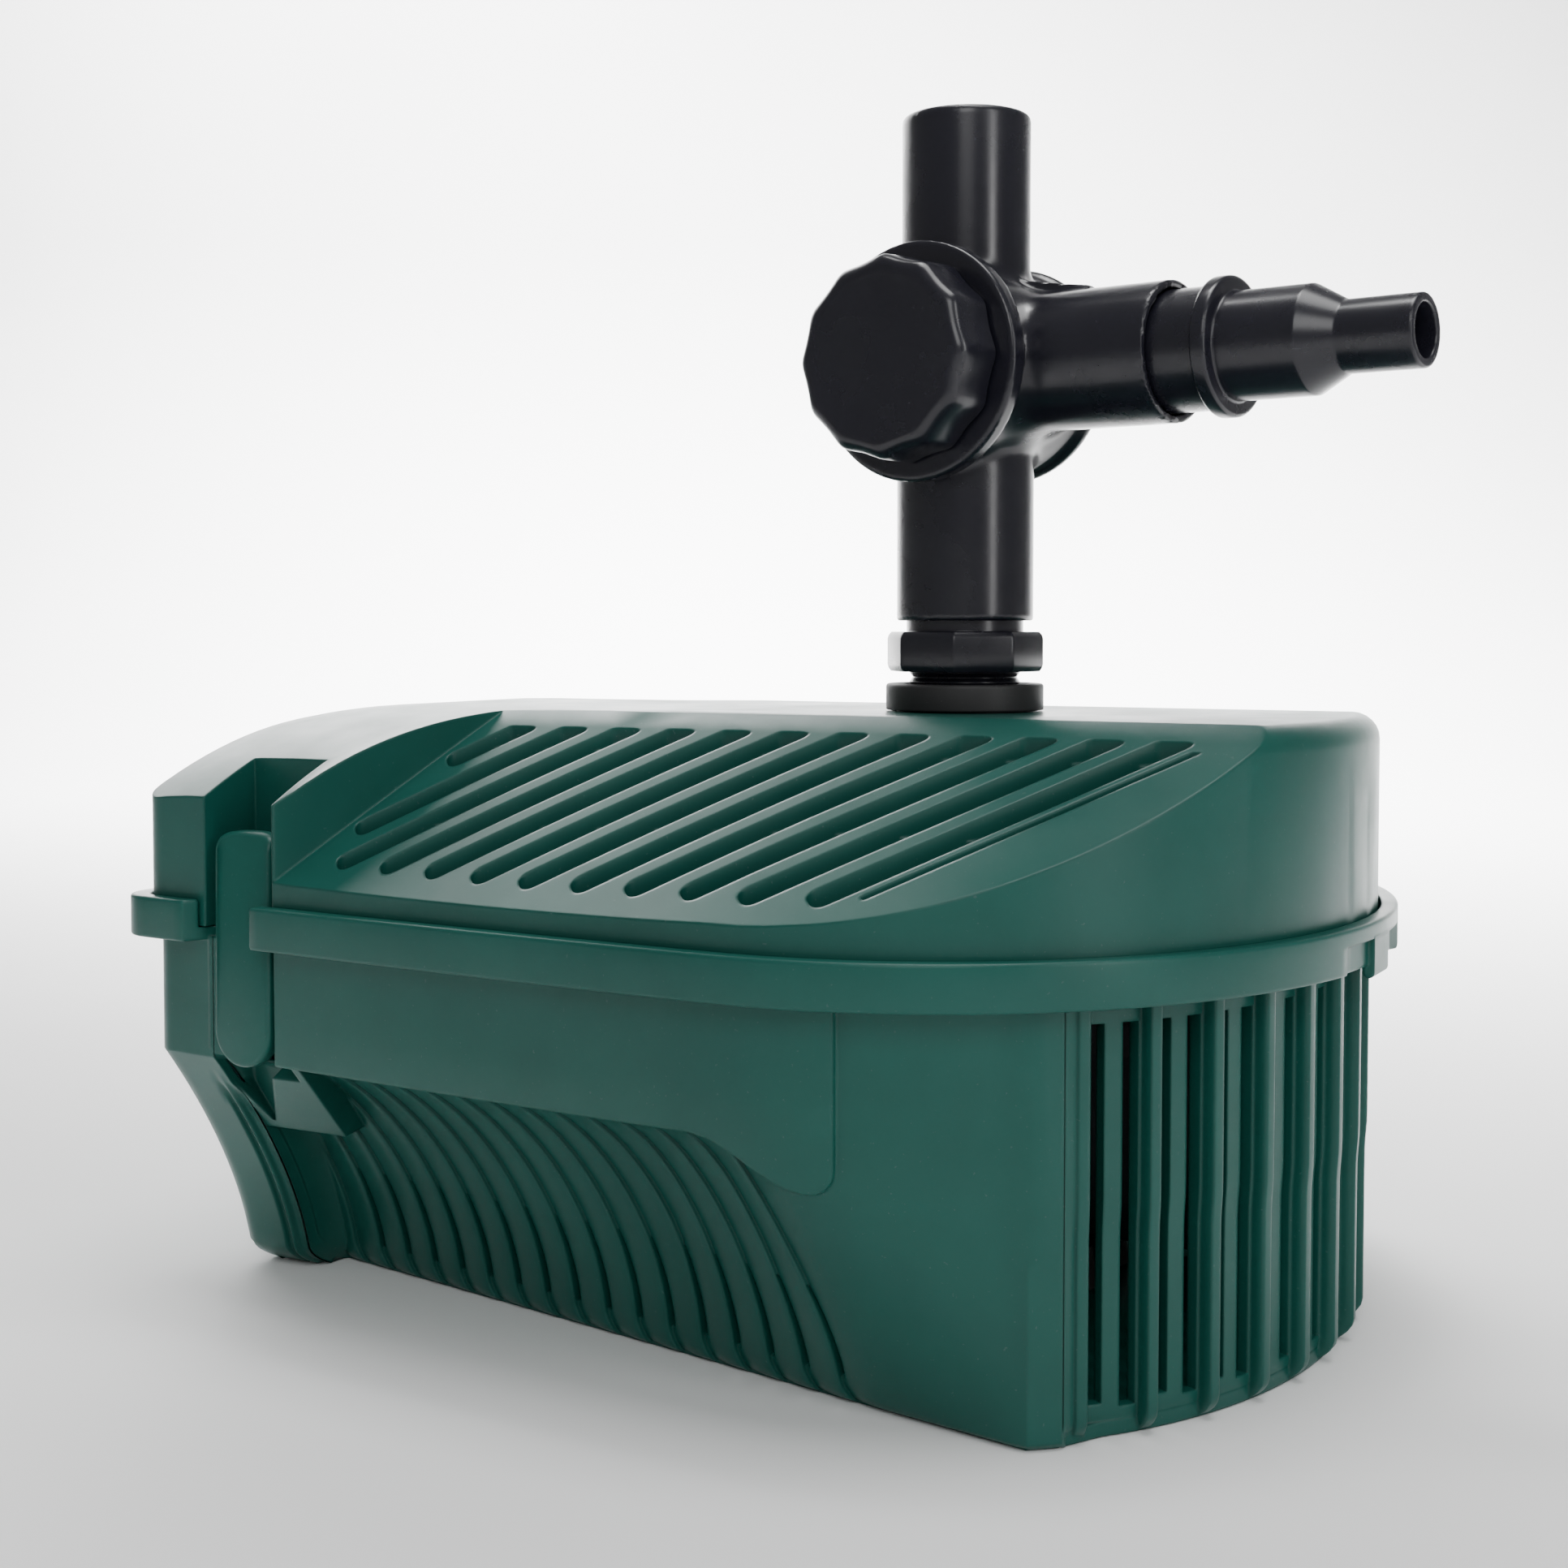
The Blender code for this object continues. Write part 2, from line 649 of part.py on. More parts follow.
def foam(name, low, high, mat):
    """A foam block that fills the casing's latch end, with a hole for the suction tube."""
    right = [(34, 3.2), (38, 18), (44, 28), (50, 37), (57, 46), (61, 51), (61, 70), (48, 84)]
    outline = [(-y, z) for y, z in reversed(right)] + right
    block = across(name, [outline], low, high, mat)
    hole = ((low - 5, PUMP_Y, PUMP_Z), (high + 5, PUMP_Y, PUMP_Z))
    return combine(block, pole(name + "_hole_cut", *hole, 9.4))


def suction_tube(mat):
    """Perforated core that draws water from the foam into the pump."""
    profile = [(0.0, -120.4), (7.4, -120.4), (7.4, -24.0), (9.0, -24.0), (9.0, -122.0), (0.0, -122.0)]
    tube = along_x("suction_tube", profile, mat, 24, closed=False)
    for i in range(4):
        x = -110.0 + 22.0 * i
        low, high = (x, PUMP_Y - 3.0, PUMP_Z - 12.0), (x + 14.0, PUMP_Y + 3.0, PUMP_Z + 12.0)
        combine(tube, box(f"suction_window_{i}_cut", low, high))
    return tube


# ---------------------------------------------------------------- pump

def along_x(name, profile, mat, steps=32, closed=True, y=PUMP_Y, z=PUMP_Z):
    """A turned piece on an axis along X from (radius, x) points."""
    obj = turned(name, [(r, x) for r, x in profile], mat, steps, closed)
    lay_along_x(obj, y, z)
    smooth(obj)
    return obj


def build_pump(mats):
    black, seal, metal = mats["black_plastic"], mats["seal_rubber"], mats["stainless_steel"]
    casing = along_x("volute_casing", [(24.0, 12.2), (24.0, -9.0), (28.0, -9.0), (28.0, -13.0), (23.4, -13.0),
                                       (23.4, -11.2), (21.4, -11.2), (21.4, -13.0), (20.0, -13.0),
                                       (20.0, 9.6), (11.4, 9.6), (11.4, 12.2)], black, 28)
    combine(casing, pole("outlet_neck", (0, 0, 45), (0, 0, 86.0), 9.9, segments=24), "UNION")
    combine(casing, pole("outlet_flange", (0, 0, 84.0), (0, 0, 89.4), 12.0, segments=24), "UNION")
    combine(casing, pole("chamber_cut", (-12.5, PUMP_Y, PUMP_Z), (9.2, PUMP_Y, PUMP_Z), 19.6, segments=24))
    combine(casing, pole("outlet_bore_cut", (0, 0, 47), (0, 0, 95), 7.8, segments=24))
    screws = [(PUMP_Y + 25.7 * math.cos(a), PUMP_Z + 25.7 * math.sin(a))
              for a in (math.radians(20 + 90 * i) for i in range(4))]
    cover = along_x("volute_cover", [(28.0, -13.3), (28.0, -16.0), (9.6, -16.0), (9.6, -23.0), (7.4, -23.0),
                                     (7.4, -13.3)], black, 28)
    combine(cover, box("spider_bar", (-17.4, PUMP_Y - 8.4, PUMP_Z - 1.2),
                       (-14.6, PUMP_Y + 8.4, PUMP_Z + 1.2)), "UNION")
    combine(cover, pole("spider_hub", (-19.0, PUMP_Y, PUMP_Z), (-13.3, PUMP_Y, PUMP_Z), 4.3,
                        segments=20), "UNION")
    combine(cover, pole("spider_bore_cut", (-17.4, PUMP_Y, PUMP_Z), (-12.0, PUMP_Y, PUMP_Z), 3.3,
                        segments=20))
    for i, (y, z) in enumerate(screws, start=1):
        for target in (casing, cover):
            tag = target.name.split("_")[1]
            combine(target, pole(f"screw_{tag}_{i}_cut", (-22, y, z), (-10.2, y, z), 1.5, segments=12))
        shape = [(0.0, -10.6), (1.2, -10.6), (1.2, -16.3), (2.2, -16.3), (2.2, -17.9), (0.0, -17.9)]
        along_x(f"volute_screw_{i}", shape, metal, 12, False, y, z)
    along_x("volute_oring", [(r, x - 12.2) for r, x in ring(22.4, 0.7)], seal, 28)
    along_x("motor_housing", [(0.0, 48.8), (12.6, 48.8), (12.6, 15.0), (26.5, 15.0), (26.5, 54.0),
                              (29.0, 54.0), (29.0, 12.5), (11.0, 12.5), (11.0, 47.0), (0.0, 47.0)],
            mats["motor_plastic"], 32, False)
    along_x("resin_plug", [(0.0, 53.6), (26.2, 53.6), (26.2, 50.0), (0.0, 50.0)],
            mats["potting_resin"], 32, False)
    along_x("cable_gland", [(0.0, 61.5), (3.4, 61.5), (5.5, 58.0), (5.5, 53.9), (0.0, 53.9)], seal, 20, False)
    along_x("rotor_magnet", [(ROTOR_RADIUS, 44.0), (ROTOR_RADIUS, 14.0), (3.6, 14.0), (3.6, 44.0)],
            mats["magnet_ferrite"], 24)
    along_x("rotor_shaft", [(0.0, 46.6), (1.6, 46.6), (1.6, -16.9), (0.0, -16.9)],
            mats["ceramic_shaft"], 16, False)
    along_x("bush_front", [(3.0, -14.0), (3.0, -16.9), (1.9, -16.9), (1.9, -14.0)], seal, 16)
    along_x("bush_rear", [(5.0, 46.7), (5.0, 44.4), (1.9, 44.4), (1.9, 46.7)], seal, 16)
    impeller(mats["impeller_plastic"])
    stator(mats)
    for i, (x, y) in enumerate(((20, -9), (20, 9), (46, -9), (46, 9)), start=1):
        foot = turned(f"pump_foot_{i}", [(0, 10.6), (4.4, 10.6), (5.2, 2.7), (0, 2.7)], seal, 20, False)
        foot.location = vec(x, PUMP_Y + y, 0)
        smooth(foot)
    gasket = turned("outlet_gasket", [(11.8, 92.2), (11.8, 89.7), (9.2, 89.7), (9.2, 92.2)], seal)
    smooth(gasket)


def impeller(mat):
    """Six straight vanes on a hub and back plate."""
    wheel = along_x("impeller", [(6.4, 13.7), (6.4, 7.5), (16.0, 7.5), (16.0, 5.5), (5.0, 5.5), (5.0, -10.0),
                                 (1.95, -10.0), (1.95, 13.7)], mat, 24)
    bm = bmesh.new()
    for i in range(6):
        place = Matrix.Translation(vec(0, PUMP_Y, PUMP_Z)) @ Matrix.Rotation(math.tau * i / 6, 4, "X")
        size = Matrix.Translation(vec(-1.8, 0, 10.0)) @ Matrix.Diagonal((15.6 * MM, 1.6 * MM, 11.6 * MM, 1.0))
        bmesh.ops.create_cube(bm, size=1.0, matrix=place @ size)
    return combine(wheel, finish_bmesh("vanes", bm), "UNION")


def stator(mats):
    """Laminated ring with two inward poles round the rotor well, and a coil on each pole."""
    pole_half, bore, yoke, outside = 7.0, 13.0, 22.8, 26.0
    face, root = math.asin(pole_half / bore), math.asin(pole_half / yoke)
    inner = []
    for turn in (0.0, math.pi):
        inner += [(bore, turn - face + 2 * face * i / 6) for i in range(7)]
        inner += [(yoke, turn + root + (math.pi - 2 * root) * i / 10) for i in range(11)]
    inner = [(r * math.cos(a), r * math.sin(a)) for r, a in inner]
    outer = [(outside * math.cos(math.tau * i / 32), outside * math.sin(math.tau * i / 32))
             for i in range(32)]
    core = across("stator_core", [outer, inner], 20, 42, mats["lamination_steel"])
    core.matrix_world = Matrix.Translation(vec(0, PUMP_Y, PUMP_Z)) @ core.matrix_world
    for side, word in ((-1, "left"), (1, "right")):
        y_low, y_high = sorted((PUMP_Y + side * 14.0, PUMP_Y + side * 19.2))
        coil = box(f"coil_{word}", (16.0, y_low, PUMP_Z - 11.2), (46.0, y_high, PUMP_Z + 11.2),
                   mats["copper_wire"])
        window = box(f"coil_{word}_cut", (19.6, y_low - 9, PUMP_Z - 7.4), (42.4, y_high + 9, PUMP_Z + 7.4))
        combine(coil, window)


# ---------------------------------------------------------------- outlet stack

def octagon(radius, turn=0.0):
    return [(radius * math.cos(turn + math.tau * i / 8), radius * math.sin(turn + math.tau * i / 8))
            for i in range(8)]


def build_outlet(mats):
    black = mats["black_plastic"]
    adapter = turned("outlet_adapter", [(15.0, COLLAR_TOP), (15.0, 112.3), (13.0, 112.3), (13.0, 92.6),
                                        (9.4, 92.6), (9.4, 104.0), (10.9, 104.0), (10.9, COLLAR_TOP)],
                     mats["matte_black"], 28)
    smooth(adapter)
    nut = plate("adapter_nut", [octagon(18.5)], 103.8, 109.2, black)
    combine(nut, pole("adapter_nut_cut", (0, 0, 100), (0, 0, 112), 13.4))
    nipple = turned("outlet_nipple", [(11.1, 146.0), (11.1, 125.0), (10.5, 120.0), (10.5, 104.4),
                                      (8.0, 104.4), (8.0, 146.0)], black, 24)
    collar = plate("octagon_collar", [octagon(15.0, math.radians(15.7))], *OCTAGON)
    combine(nipple, collar, "UNION")
    combine(nipple, pole("nipple_bore_cut", (0, 0, 100), (0, 0, 150), 8.0))
    smooth(nipple)


def tee_point(along, across_y, z):
    """A point given along the branch, away from the knob and up, in the casing's frame."""
    c, s = math.cos(BRANCH_ANGLE), math.sin(BRANCH_ANGLE)
    return (along * c - across_y * s, along * s + across_y * c, z)


def tee_pole(name, start, end, radius, segments=32):
    return pole(name, tee_point(*start), tee_point(*end), radius, segments=segments)


def on_valve_axis(obj):
    """Lay a piece made about Z along the knob's axis, with Z pointing to the knob."""
    turn = Matrix.Rotation(BRANCH_ANGLE, 4, "Z") @ Matrix.Rotation(math.pi / 2, 4, "X")
    obj.matrix_world = Matrix.Translation(vec(0, 0, TEE_Z)) @ turn


def on_branch_axis(obj):
    """Lay a piece made about Z along the branch, with Z pointing out of it."""
    turn = Matrix.Rotation(BRANCH_ANGLE, 4, "Z") @ Matrix.Rotation(math.pi / 2, 4, "Y")
    obj.matrix_world = Matrix.Translation(vec(0, 0, TEE_Z)) @ turn


def build_tee(mats):
    black, seal = mats["black_plastic"], mats["seal_rubber"]
    body = turned("tee_body", [(0.0, TOP_Z), (10.8, TOP_Z), (12.1, TOP_Z - 1.3), (12.1, 180.0),
                               (12.95, 172.0), (12.95, 130.0), (12.2, 129.2), (0.0, 129.2)],
                  black, 28, closed=False)
    combine(body, tee_pole("valve_barrel", (0, -16, TEE_Z), (0, 16, TEE_Z), 19.5), "UNION")
    combine(body, tee_pole("valve_front_ring", (0, -17.5, TEE_Z), (0, -13.5, TEE_Z), 22.0), "UNION")
    combine(body, tee_pole("valve_rear_disc", (0, 14.5, TEE_Z), (0, 17.6, TEE_Z), 20.5), "UNION")
    combine(body, tee_pole("branch_tube", (4, 0, TEE_Z), (SOCKET_END, 0, TEE_Z), 12.5, 24), "UNION")
    combine(body, tee_pole("valve_bore_cut", (0, -30, TEE_Z), (0, 12, TEE_Z), 15.0))
    combine(body, pole("lower_socket_cut", (0, 0, 120), (0, 0, 147), 11.45, segments=24))
    combine(body, pole("riser_bore_cut", (0, 0, 140), (0, 0, 230), 9.6, segments=24))
    combine(body, tee_pole("branch_bore_cut", (8, 0, TEE_Z), (60, 0, TEE_Z), 9.3, 20))
    combine(body, tee_pole("branch_socket_cut", (30, 0, TEE_Z), (60, 0, TEE_Z), 11.3, 24))
    smooth(body)
    plug = turned("valve_plug", [(0.0, 17.6), (6.0, 17.6), (6.0, 16.6), (14.6, 16.6), (14.6, 14.4),
                                 (12.9, 14.4), (12.9, 12.2), (14.6, 12.2), (14.6, -9.0), (12.9, -9.0),
                                 (12.9, -11.0), (14.6, -11.0), (14.6, -11.6), (0.0, -11.6)],
                  black, 32, closed=False)
    on_valve_axis(plug)
    combine(plug, pole("plug_riser_cut", (0, 0, 150), (0, 0, 200), 9.0, segments=24))
    combine(plug, tee_pole("plug_branch_cut", (1, 0, TEE_Z), (30, 0, TEE_Z), 8.6, 20))
    smooth(plug)
    for word, height in (("front", 13.3), ("rear", -10.0)):
        seal_ring = turned(f"plug_oring_{word}", [(r, z + height) for r, z in ring(13.9, 0.65)], seal, 24)
        on_valve_axis(seal_ring)
        smooth(seal_ring)
    knob(mats["black_plastic"])
    tail = turned("hose_tail", [(4.6, TAIL_END), (6.0, TAIL_END), (6.25, TAIL_END - 1), (6.25, 77.0),
                                (9.3, 71.5), (9.5, 70.5), (9.5, 56.5), (12.3, 56.0), (12.3, 53.6),
                                (10.85, 53.2), (10.85, 39.8), (9.6, 39.8), (9.6, 37.8), (10.85, 37.8),
                                (10.85, 31.0), (8.0, 31.0), (8.0, 68.0), (4.6, 75.0)], black, 24)
    on_branch_axis(tail)
    smooth(tail)
    tail_seal = turned("hose_tail_oring", [(r, z + 38.8) for r, z in ring(10.4, 0.55)], seal, 20)
    on_branch_axis(tail_seal)
    smooth(tail_seal)


def knob(mat):
    """Twelve-sided grip with a softened edge and a plain face."""
    outline = []
    for i in range(12):
        angle = math.tau * i / 12
        outline.append((KNOB_RADIUS * math.cos(angle), KNOB_RADIUS * math.sin(angle)))
        middle = angle + math.tau / 24
        outline.append((KNOB_FLAT * math.cos(middle), KNOB_FLAT * math.sin(middle)))
    grip = plate("flow_knob", [outline], *KNOB_Z, mat)
    bevel = grip.modifiers.new("edge", "BEVEL")
    bevel.width = 1.2 * MM
    bevel.segments = 2
    bevel.limit_method = "ANGLE"
    bevel.angle_limit = math.radians(60)
    lift = Matrix.Translation(vec(0, 0, sum(KNOB_Z) / 2))
    turn = Matrix.Rotation(BRANCH_ANGLE, 4, "Z") @ Matrix.Rotation(math.pi / 2, 4, "X")
    grip.matrix_world = Matrix.Translation(vec(0, 0, TEE_Z)) @ turn @ lift
    return grip


# ---------------------------------------------------------------- assembly

def materials():
    return {
        "green_plastic": material("green_plastic", (0.012, 0.105, 0.080), 0.38),
        "black_plastic": material("black_plastic", (0.012, 0.012, 0.014), 0.28),
        "matte_black": material("matte_black", (0.014, 0.014, 0.015), 0.55),
        "motor_plastic": material("motor_plastic", (0.03, 0.03, 0.035), 0.45),
        "impeller_plastic": material("impeller_plastic", (0.55, 0.56, 0.56), 0.4),
        "seal_rubber": material("seal_rubber", (0.02, 0.02, 0.02), 0.7),
        "foam_coarse": material("foam_coarse", (0.02, 0.05, 0.16), 0.95),
        "foam_fine": material("foam_fine", (0.03, 0.03, 0.03), 0.95),
        "stainless_steel": material("stainless_steel", (0.62, 0.62, 0.63), 0.3, 1.0),
        "magnet_ferrite": material("magnet_ferrite", (0.06, 0.06, 0.065), 0.5),
        "ceramic_shaft": material("ceramic_shaft", (0.85, 0.85, 0.82), 0.25),
        "lamination_steel": material("lamination_steel", (0.35, 0.35, 0.36), 0.5, 1.0),
        "copper_wire": material("copper_wire", (0.6, 0.22, 0.08), 0.35, 1.0),
        "potting_resin": material("potting_resin", (0.03, 0.03, 0.03), 0.3),
    }


def main():
    clear_scene()
    collection(PARTS)
    collection("cutters")
    mats = materials()
    base_casing(mats["green_plastic"])
    lid(mats["green_plastic"])
    latch("near", 1, mats["green_plastic"])
    latch("far", -1, mats["green_plastic"])
    foam("foam_coarse", -128.0, -80.5, mats["foam_coarse"])
    foam("foam_fine", -80.0, -32.0, mats["foam_fine"])
    suction_tube(mats["black_plastic"])
    build_pump(mats)
    build_outlet(mats)
    build_tee(mats)
    bpy.context.view_layer.update()


main()
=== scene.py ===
"""Looks of the fountain submersible pump: fine surfaces, materials, light and camera.

Lengths are in millimetres and become metres where a mesh is made. +X runs to the nose, -Y is the
near side, +Z is up, and the origin is under the riser.
"""

import json
import math

import bmesh
import bpy
import numpy as np
from mathutils import Matrix, Vector


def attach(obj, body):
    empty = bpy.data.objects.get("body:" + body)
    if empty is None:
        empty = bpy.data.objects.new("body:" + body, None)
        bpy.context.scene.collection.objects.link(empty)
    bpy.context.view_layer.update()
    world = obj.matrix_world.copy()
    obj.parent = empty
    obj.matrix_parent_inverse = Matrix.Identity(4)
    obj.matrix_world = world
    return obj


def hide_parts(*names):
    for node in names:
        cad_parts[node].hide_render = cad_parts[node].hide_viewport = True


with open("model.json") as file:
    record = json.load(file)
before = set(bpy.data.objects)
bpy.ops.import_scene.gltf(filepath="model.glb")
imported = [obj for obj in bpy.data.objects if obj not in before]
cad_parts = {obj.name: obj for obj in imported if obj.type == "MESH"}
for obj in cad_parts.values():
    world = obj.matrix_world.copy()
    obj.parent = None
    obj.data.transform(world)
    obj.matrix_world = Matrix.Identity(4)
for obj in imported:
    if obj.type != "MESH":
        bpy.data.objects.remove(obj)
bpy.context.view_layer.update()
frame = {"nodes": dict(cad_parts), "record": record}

MM = 0.001
CUT, JOIN = "DIFFERENCE", "UNION"

# Casing plan and heights, as in the CAD.
NOSE_LENGTH = 79.5
HALF_WIDTH = 92.0
END_X = -141.0
END_TAPER = 12.0
END_CORNER = 8.0
FLOOR = 2.4
SHOULDER_LOW = 47.4  # lower edge of the smooth panel, and its fall at the nose
SHOULDER_FALL = 7.7
RIM_LOW = 69.5
WALL_TOP = 70.2  # top of the walls, inside the rim
RIM_TOP = 77.3
LEDGE = 71.9
LID_FOOT = 72.2
LID_TOP = 112.0
WALL = 2.4
WALL_INSET = 5.0
BAY_INSET = 6.3
LID_INSET = 3.6
RIM_INNER_INSET = 3.0
RIB_PITCH = 13.02
RIB_DEPTH = 2.6
NOSE_RIBS = 6
SLOT_WIDTH = 3.0
NOSE_JOG = 0.4  # how far the nose wall steps in below half its height
NOTCH_X = (-119.5, -101.5)
LATCH_X = (-117.3, -103.5)
LATCH_Z = (46.6, 90.3)
LATCH_PIVOT = (-74.2, 56.0)
RIDGE_Y = 32.0
PANEL_SLOPE = 0.536
PANEL_TWIST = 0.00094
GRILLE_PITCH = 11.85
GRILLE_SLOT = 5.4
GRILLE_SLOTS = 12
GRILLE_FIRST_X = -75.4
GRILLE_TOP_Y = -37.0
GRILLE_BORDER = 4.4
PANEL_START = (-84.0, -0.36)  # wall beside the slotted panel: X at the ridge, and its lean
LIP_LOW = 74.2
HINGE = (NOSE_LENGTH - 1.5, 75.75)
TONGUE_RADII = (2.5, 3.6)
TONGUE_END = 245.0
TONGUE_HALF = 9.0
RIM_STEP = (17.0, 1.1)  # half length and depth of the step below the rim's lip
LUG_HALF = 5.0
LUG_X = (NOSE_LENGTH - 2.1, NOSE_LENGTH - 0.1)
LUG_LOW = 67.4

# Louvres: the foot of the last one, their pitch and how far their tops lean back.
LOUVRE_LAST_X = 7.3
LOUVRE_PITCH = 7.6
LOUVRES = 16
LOUVRE_LEAN = 13.0
LOUVRE_DEPTH = 1.15
GROOVE_X = -119.0
END_BLOCK_X = -122.0
END_FOOT = 52.0  # half the width of the flat end's foot

# Outlet stack.
COLLAR_TOP = 117.3
TEE_Z = 176.7
TOP_Z = 224.0
BRANCH_ANGLE = math.radians(-10.0)
SOCKET_END = 44.8
TAIL_END = 90.5


# ------------------ meshes

def make_mesh(name, points, faces):
    """A mesh from points in millimetres, welded, with its faces turned outwards."""
    mesh = bpy.data.meshes.new(name)
    mesh.from_pydata([tuple(float(c) * MM for c in p) for p in points], [], faces)
    bm = bmesh.new()
    bm.from_mesh(mesh)
    bmesh.ops.remove_doubles(bm, verts=bm.verts, dist=0.000002)
    bmesh.ops.dissolve_degenerate(bm, dist=0.000002, edges=bm.edges)
    bmesh.ops.recalc_face_normals(bm, faces=bm.faces)
    bm.to_mesh(mesh)
    bm.free()
    return mesh


def link(name, mesh):
    obj = bpy.data.objects.new(name, mesh)
    bpy.context.scene.collection.objects.link(obj)
    return obj


def grid_faces(rows, columns, wrap_rows=False):
    """Quads over a grid of points whose every row is a closed ring."""
    faces = []
    for i in range(rows if wrap_rows else rows - 1):
        row, after = i * columns, (i + 1) % rows * columns
        for j in range(columns):
            k = (j + 1) % columns
            faces.append((row + j, row + k, after + k, after + j))
    return faces


def loft(name, sections):
    """A solid through closed sections of equal length, capped at both ends."""
    rows, columns = len(sections), len(sections[0])
    faces = grid_faces(rows, columns)
    faces.append(tuple(range(columns)))
    faces.append(tuple((rows - 1) * columns + j for j in range(columns)))
    return make_mesh(name, [p for section in sections for p in section], faces)


def shell(name, outer, inner):
    """A closed wall between an outer and an inner grid of points of the same shape."""
    sections = [list(o) + list(reversed(i)) for o, i in zip(outer, inner)]
    return loft(name, sections)


def lathe(name, profile, steps=96):
    """A turned solid about Z from a closed ring of (radius, height) points."""
    sections = []
    for k in range(steps):
        angle = math.tau * k / steps
        sections.append([(r * math.cos(angle), r * math.sin(angle), z) for r, z in profile])
    points = [p for section in sections for p in section]
    return make_mesh(name, points, grid_faces(steps, len(profile), True))


def rounded(profile, radius, steps=4):
    """The closed profile with rounded corners; a point can carry its own radius as a third value."""
    count = len(profile)
    result = []
    for i, point in enumerate(profile):
        here = Vector(point[:2])
        size = point[2] if len(point) > 2 else radius
        if size <= 0:
            result.append(tuple(here))
            continue
        before = Vector(profile[i - 1][:2]) - here
        after = Vector(profile[(i + 1) % count][:2]) - here
        half = before.angle(after, math.pi) / 2
        reach = min(size / math.tan(half), 0.45 * before.length, 0.45 * after.length)
        if reach < 0.01:
            result.append(tuple(here))
            continue
        first, last = here + before.normalized() * reach, here + after.normalized() * reach
        for k in range(steps + 1):
            t = k / steps
            result.append(tuple(first * (1 - t) ** 2 + here * 2 * t * (1 - t) + last * t ** 2))
    return result


def box_mesh(name, low, high):
    corners = [(x, y, z) for x in (low[0], high[0]) for y in (low[1], high[1])
               for z in (low[2], high[2])]
    faces = [(0, 1, 3, 2), (4, 6, 7, 5), (0, 4, 5, 1), (2, 3, 7, 6), (0, 2, 6, 4), (1, 5, 7, 3)]
    return make_mesh(name, corners, faces)


def along_z(x, y, z):
    return (x, y, z)


def along_y(x, z, y):
    return (x, y, z)


def along_x(y, z, x):
    return (x, y, z)


def circle(radius, count, middle=(0.0, 0.0)):
    return [(middle[0] + radius * math.cos(math.tau * i / count),
             middle[1] + radius * math.sin(math.tau * i / count)) for i in range(count)]


def share_of(value):
    return min(1.0, max(0.0, value))


def prism(name, outline, low, high, place=along_z):
    """A flat outline with a depth, turned to the casing's axes by a function."""
    bottom = [place(x, y, low) for x, y in outline]
    top = [place(x, y, high) for x, y in outline]
    return loft(name, [bottom, top])


def join_meshes(name, meshes):
    """One mesh that holds several."""
    bm = bmesh.new()
    for mesh in meshes:
        bm.from_mesh(mesh)
    result = bpy.data.meshes.new(name)
    bm.to_mesh(result)
    bm.free()
    return result


def mirrored(mesh):
    """The same mesh on the other side of the middle plane."""
    bm = bmesh.new()
    bm.from_mesh(mesh)
    bmesh.ops.scale(bm, vec=(1, -1, 1), verts=bm.verts)
    bmesh.ops.reverse_faces(bm, faces=bm.faces)
    result = bpy.data.meshes.new(mesh.name + "_far")
    bm.to_mesh(result)
    bm.free()
    return result


def carve(mesh, steps):
    """Boolean steps, as (operation, mesh) pairs, applied to a mesh one after another."""
    target = link("carved", mesh)
    tools = []
    for number, (operation, tool_mesh) in enumerate(steps):
        tool = link(f"tool_{number}", tool_mesh)
        tools.append(tool)
        step = target.modifiers.new(tool.name, "BOOLEAN")
        step.operation = operation
        step.solver = "EXACT"
        step.use_self = operation == CUT and len(tool_mesh.polygons) > 400
        step.object = tool
    bpy.context.view_layer.update()
    seen = target.evaluated_get(bpy.context.evaluated_depsgraph_get())
    result = bpy.data.meshes.new_from_object(seen)
    for obj in [target] + tools:
        bpy.data.objects.remove(obj, do_unlink=True)
    return result


def piece(name, mesh, mat, body, replaced=(), angle=35.0, place=None):
    """A finished piece: one mesh with its material, riding on a body."""
    if place is not None:
        mesh.transform(place)
    mesh.materials.clear()
    mesh.materials.append(mat)
    mesh.shade_smooth()
    mesh.set_sharp_from_angle(angle=math.radians(angle))
    mesh.name = name
    obj = link(name, mesh)
    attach(obj, body)
    if replaced:
        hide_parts(*replaced)
    return obj


# ------------------ casing form

def half_width(x, inset=0.0):
    if x <= 0:
        return HALF_WIDTH - inset - END_TAPER * (-x / 136.0) ** 1.3
    return (HALF_WIDTH - inset) * math.sqrt(max(0.0, 1.0 - (x / (NOSE_LENGTH - inset)) ** 2))


def nose_point(inset, angle):
    return ((NOSE_LENGTH - inset) * math.cos(angle), -(HALF_WIDTH - inset) * math.sin(angle))


def bottom_half(x):
    """Half-width of the casing where it stands on the floor."""
    if x < END_BLOCK_X:
        return END_FOOT
    return min(40.0 + (x + 124.0) * 0.1914, half_width(x, WALL_INSET))


def shoulder_edge(x):
    if x < -10.0:
        return SHOULDER_LOW
    return SHOULDER_LOW - SHOULDER_FALL * math.sin(min(1.0, (x + 10.0) / 22.0) * math.pi / 2) ** 2


def cove(x, t):
    blend = share_of((x + 25.0) / 40.0)
    hollow = 0.25 * t + 0.75 * (1 - math.sqrt(max(0.0, 1 - t * t)))
    return (1 - blend) * hollow + blend * t


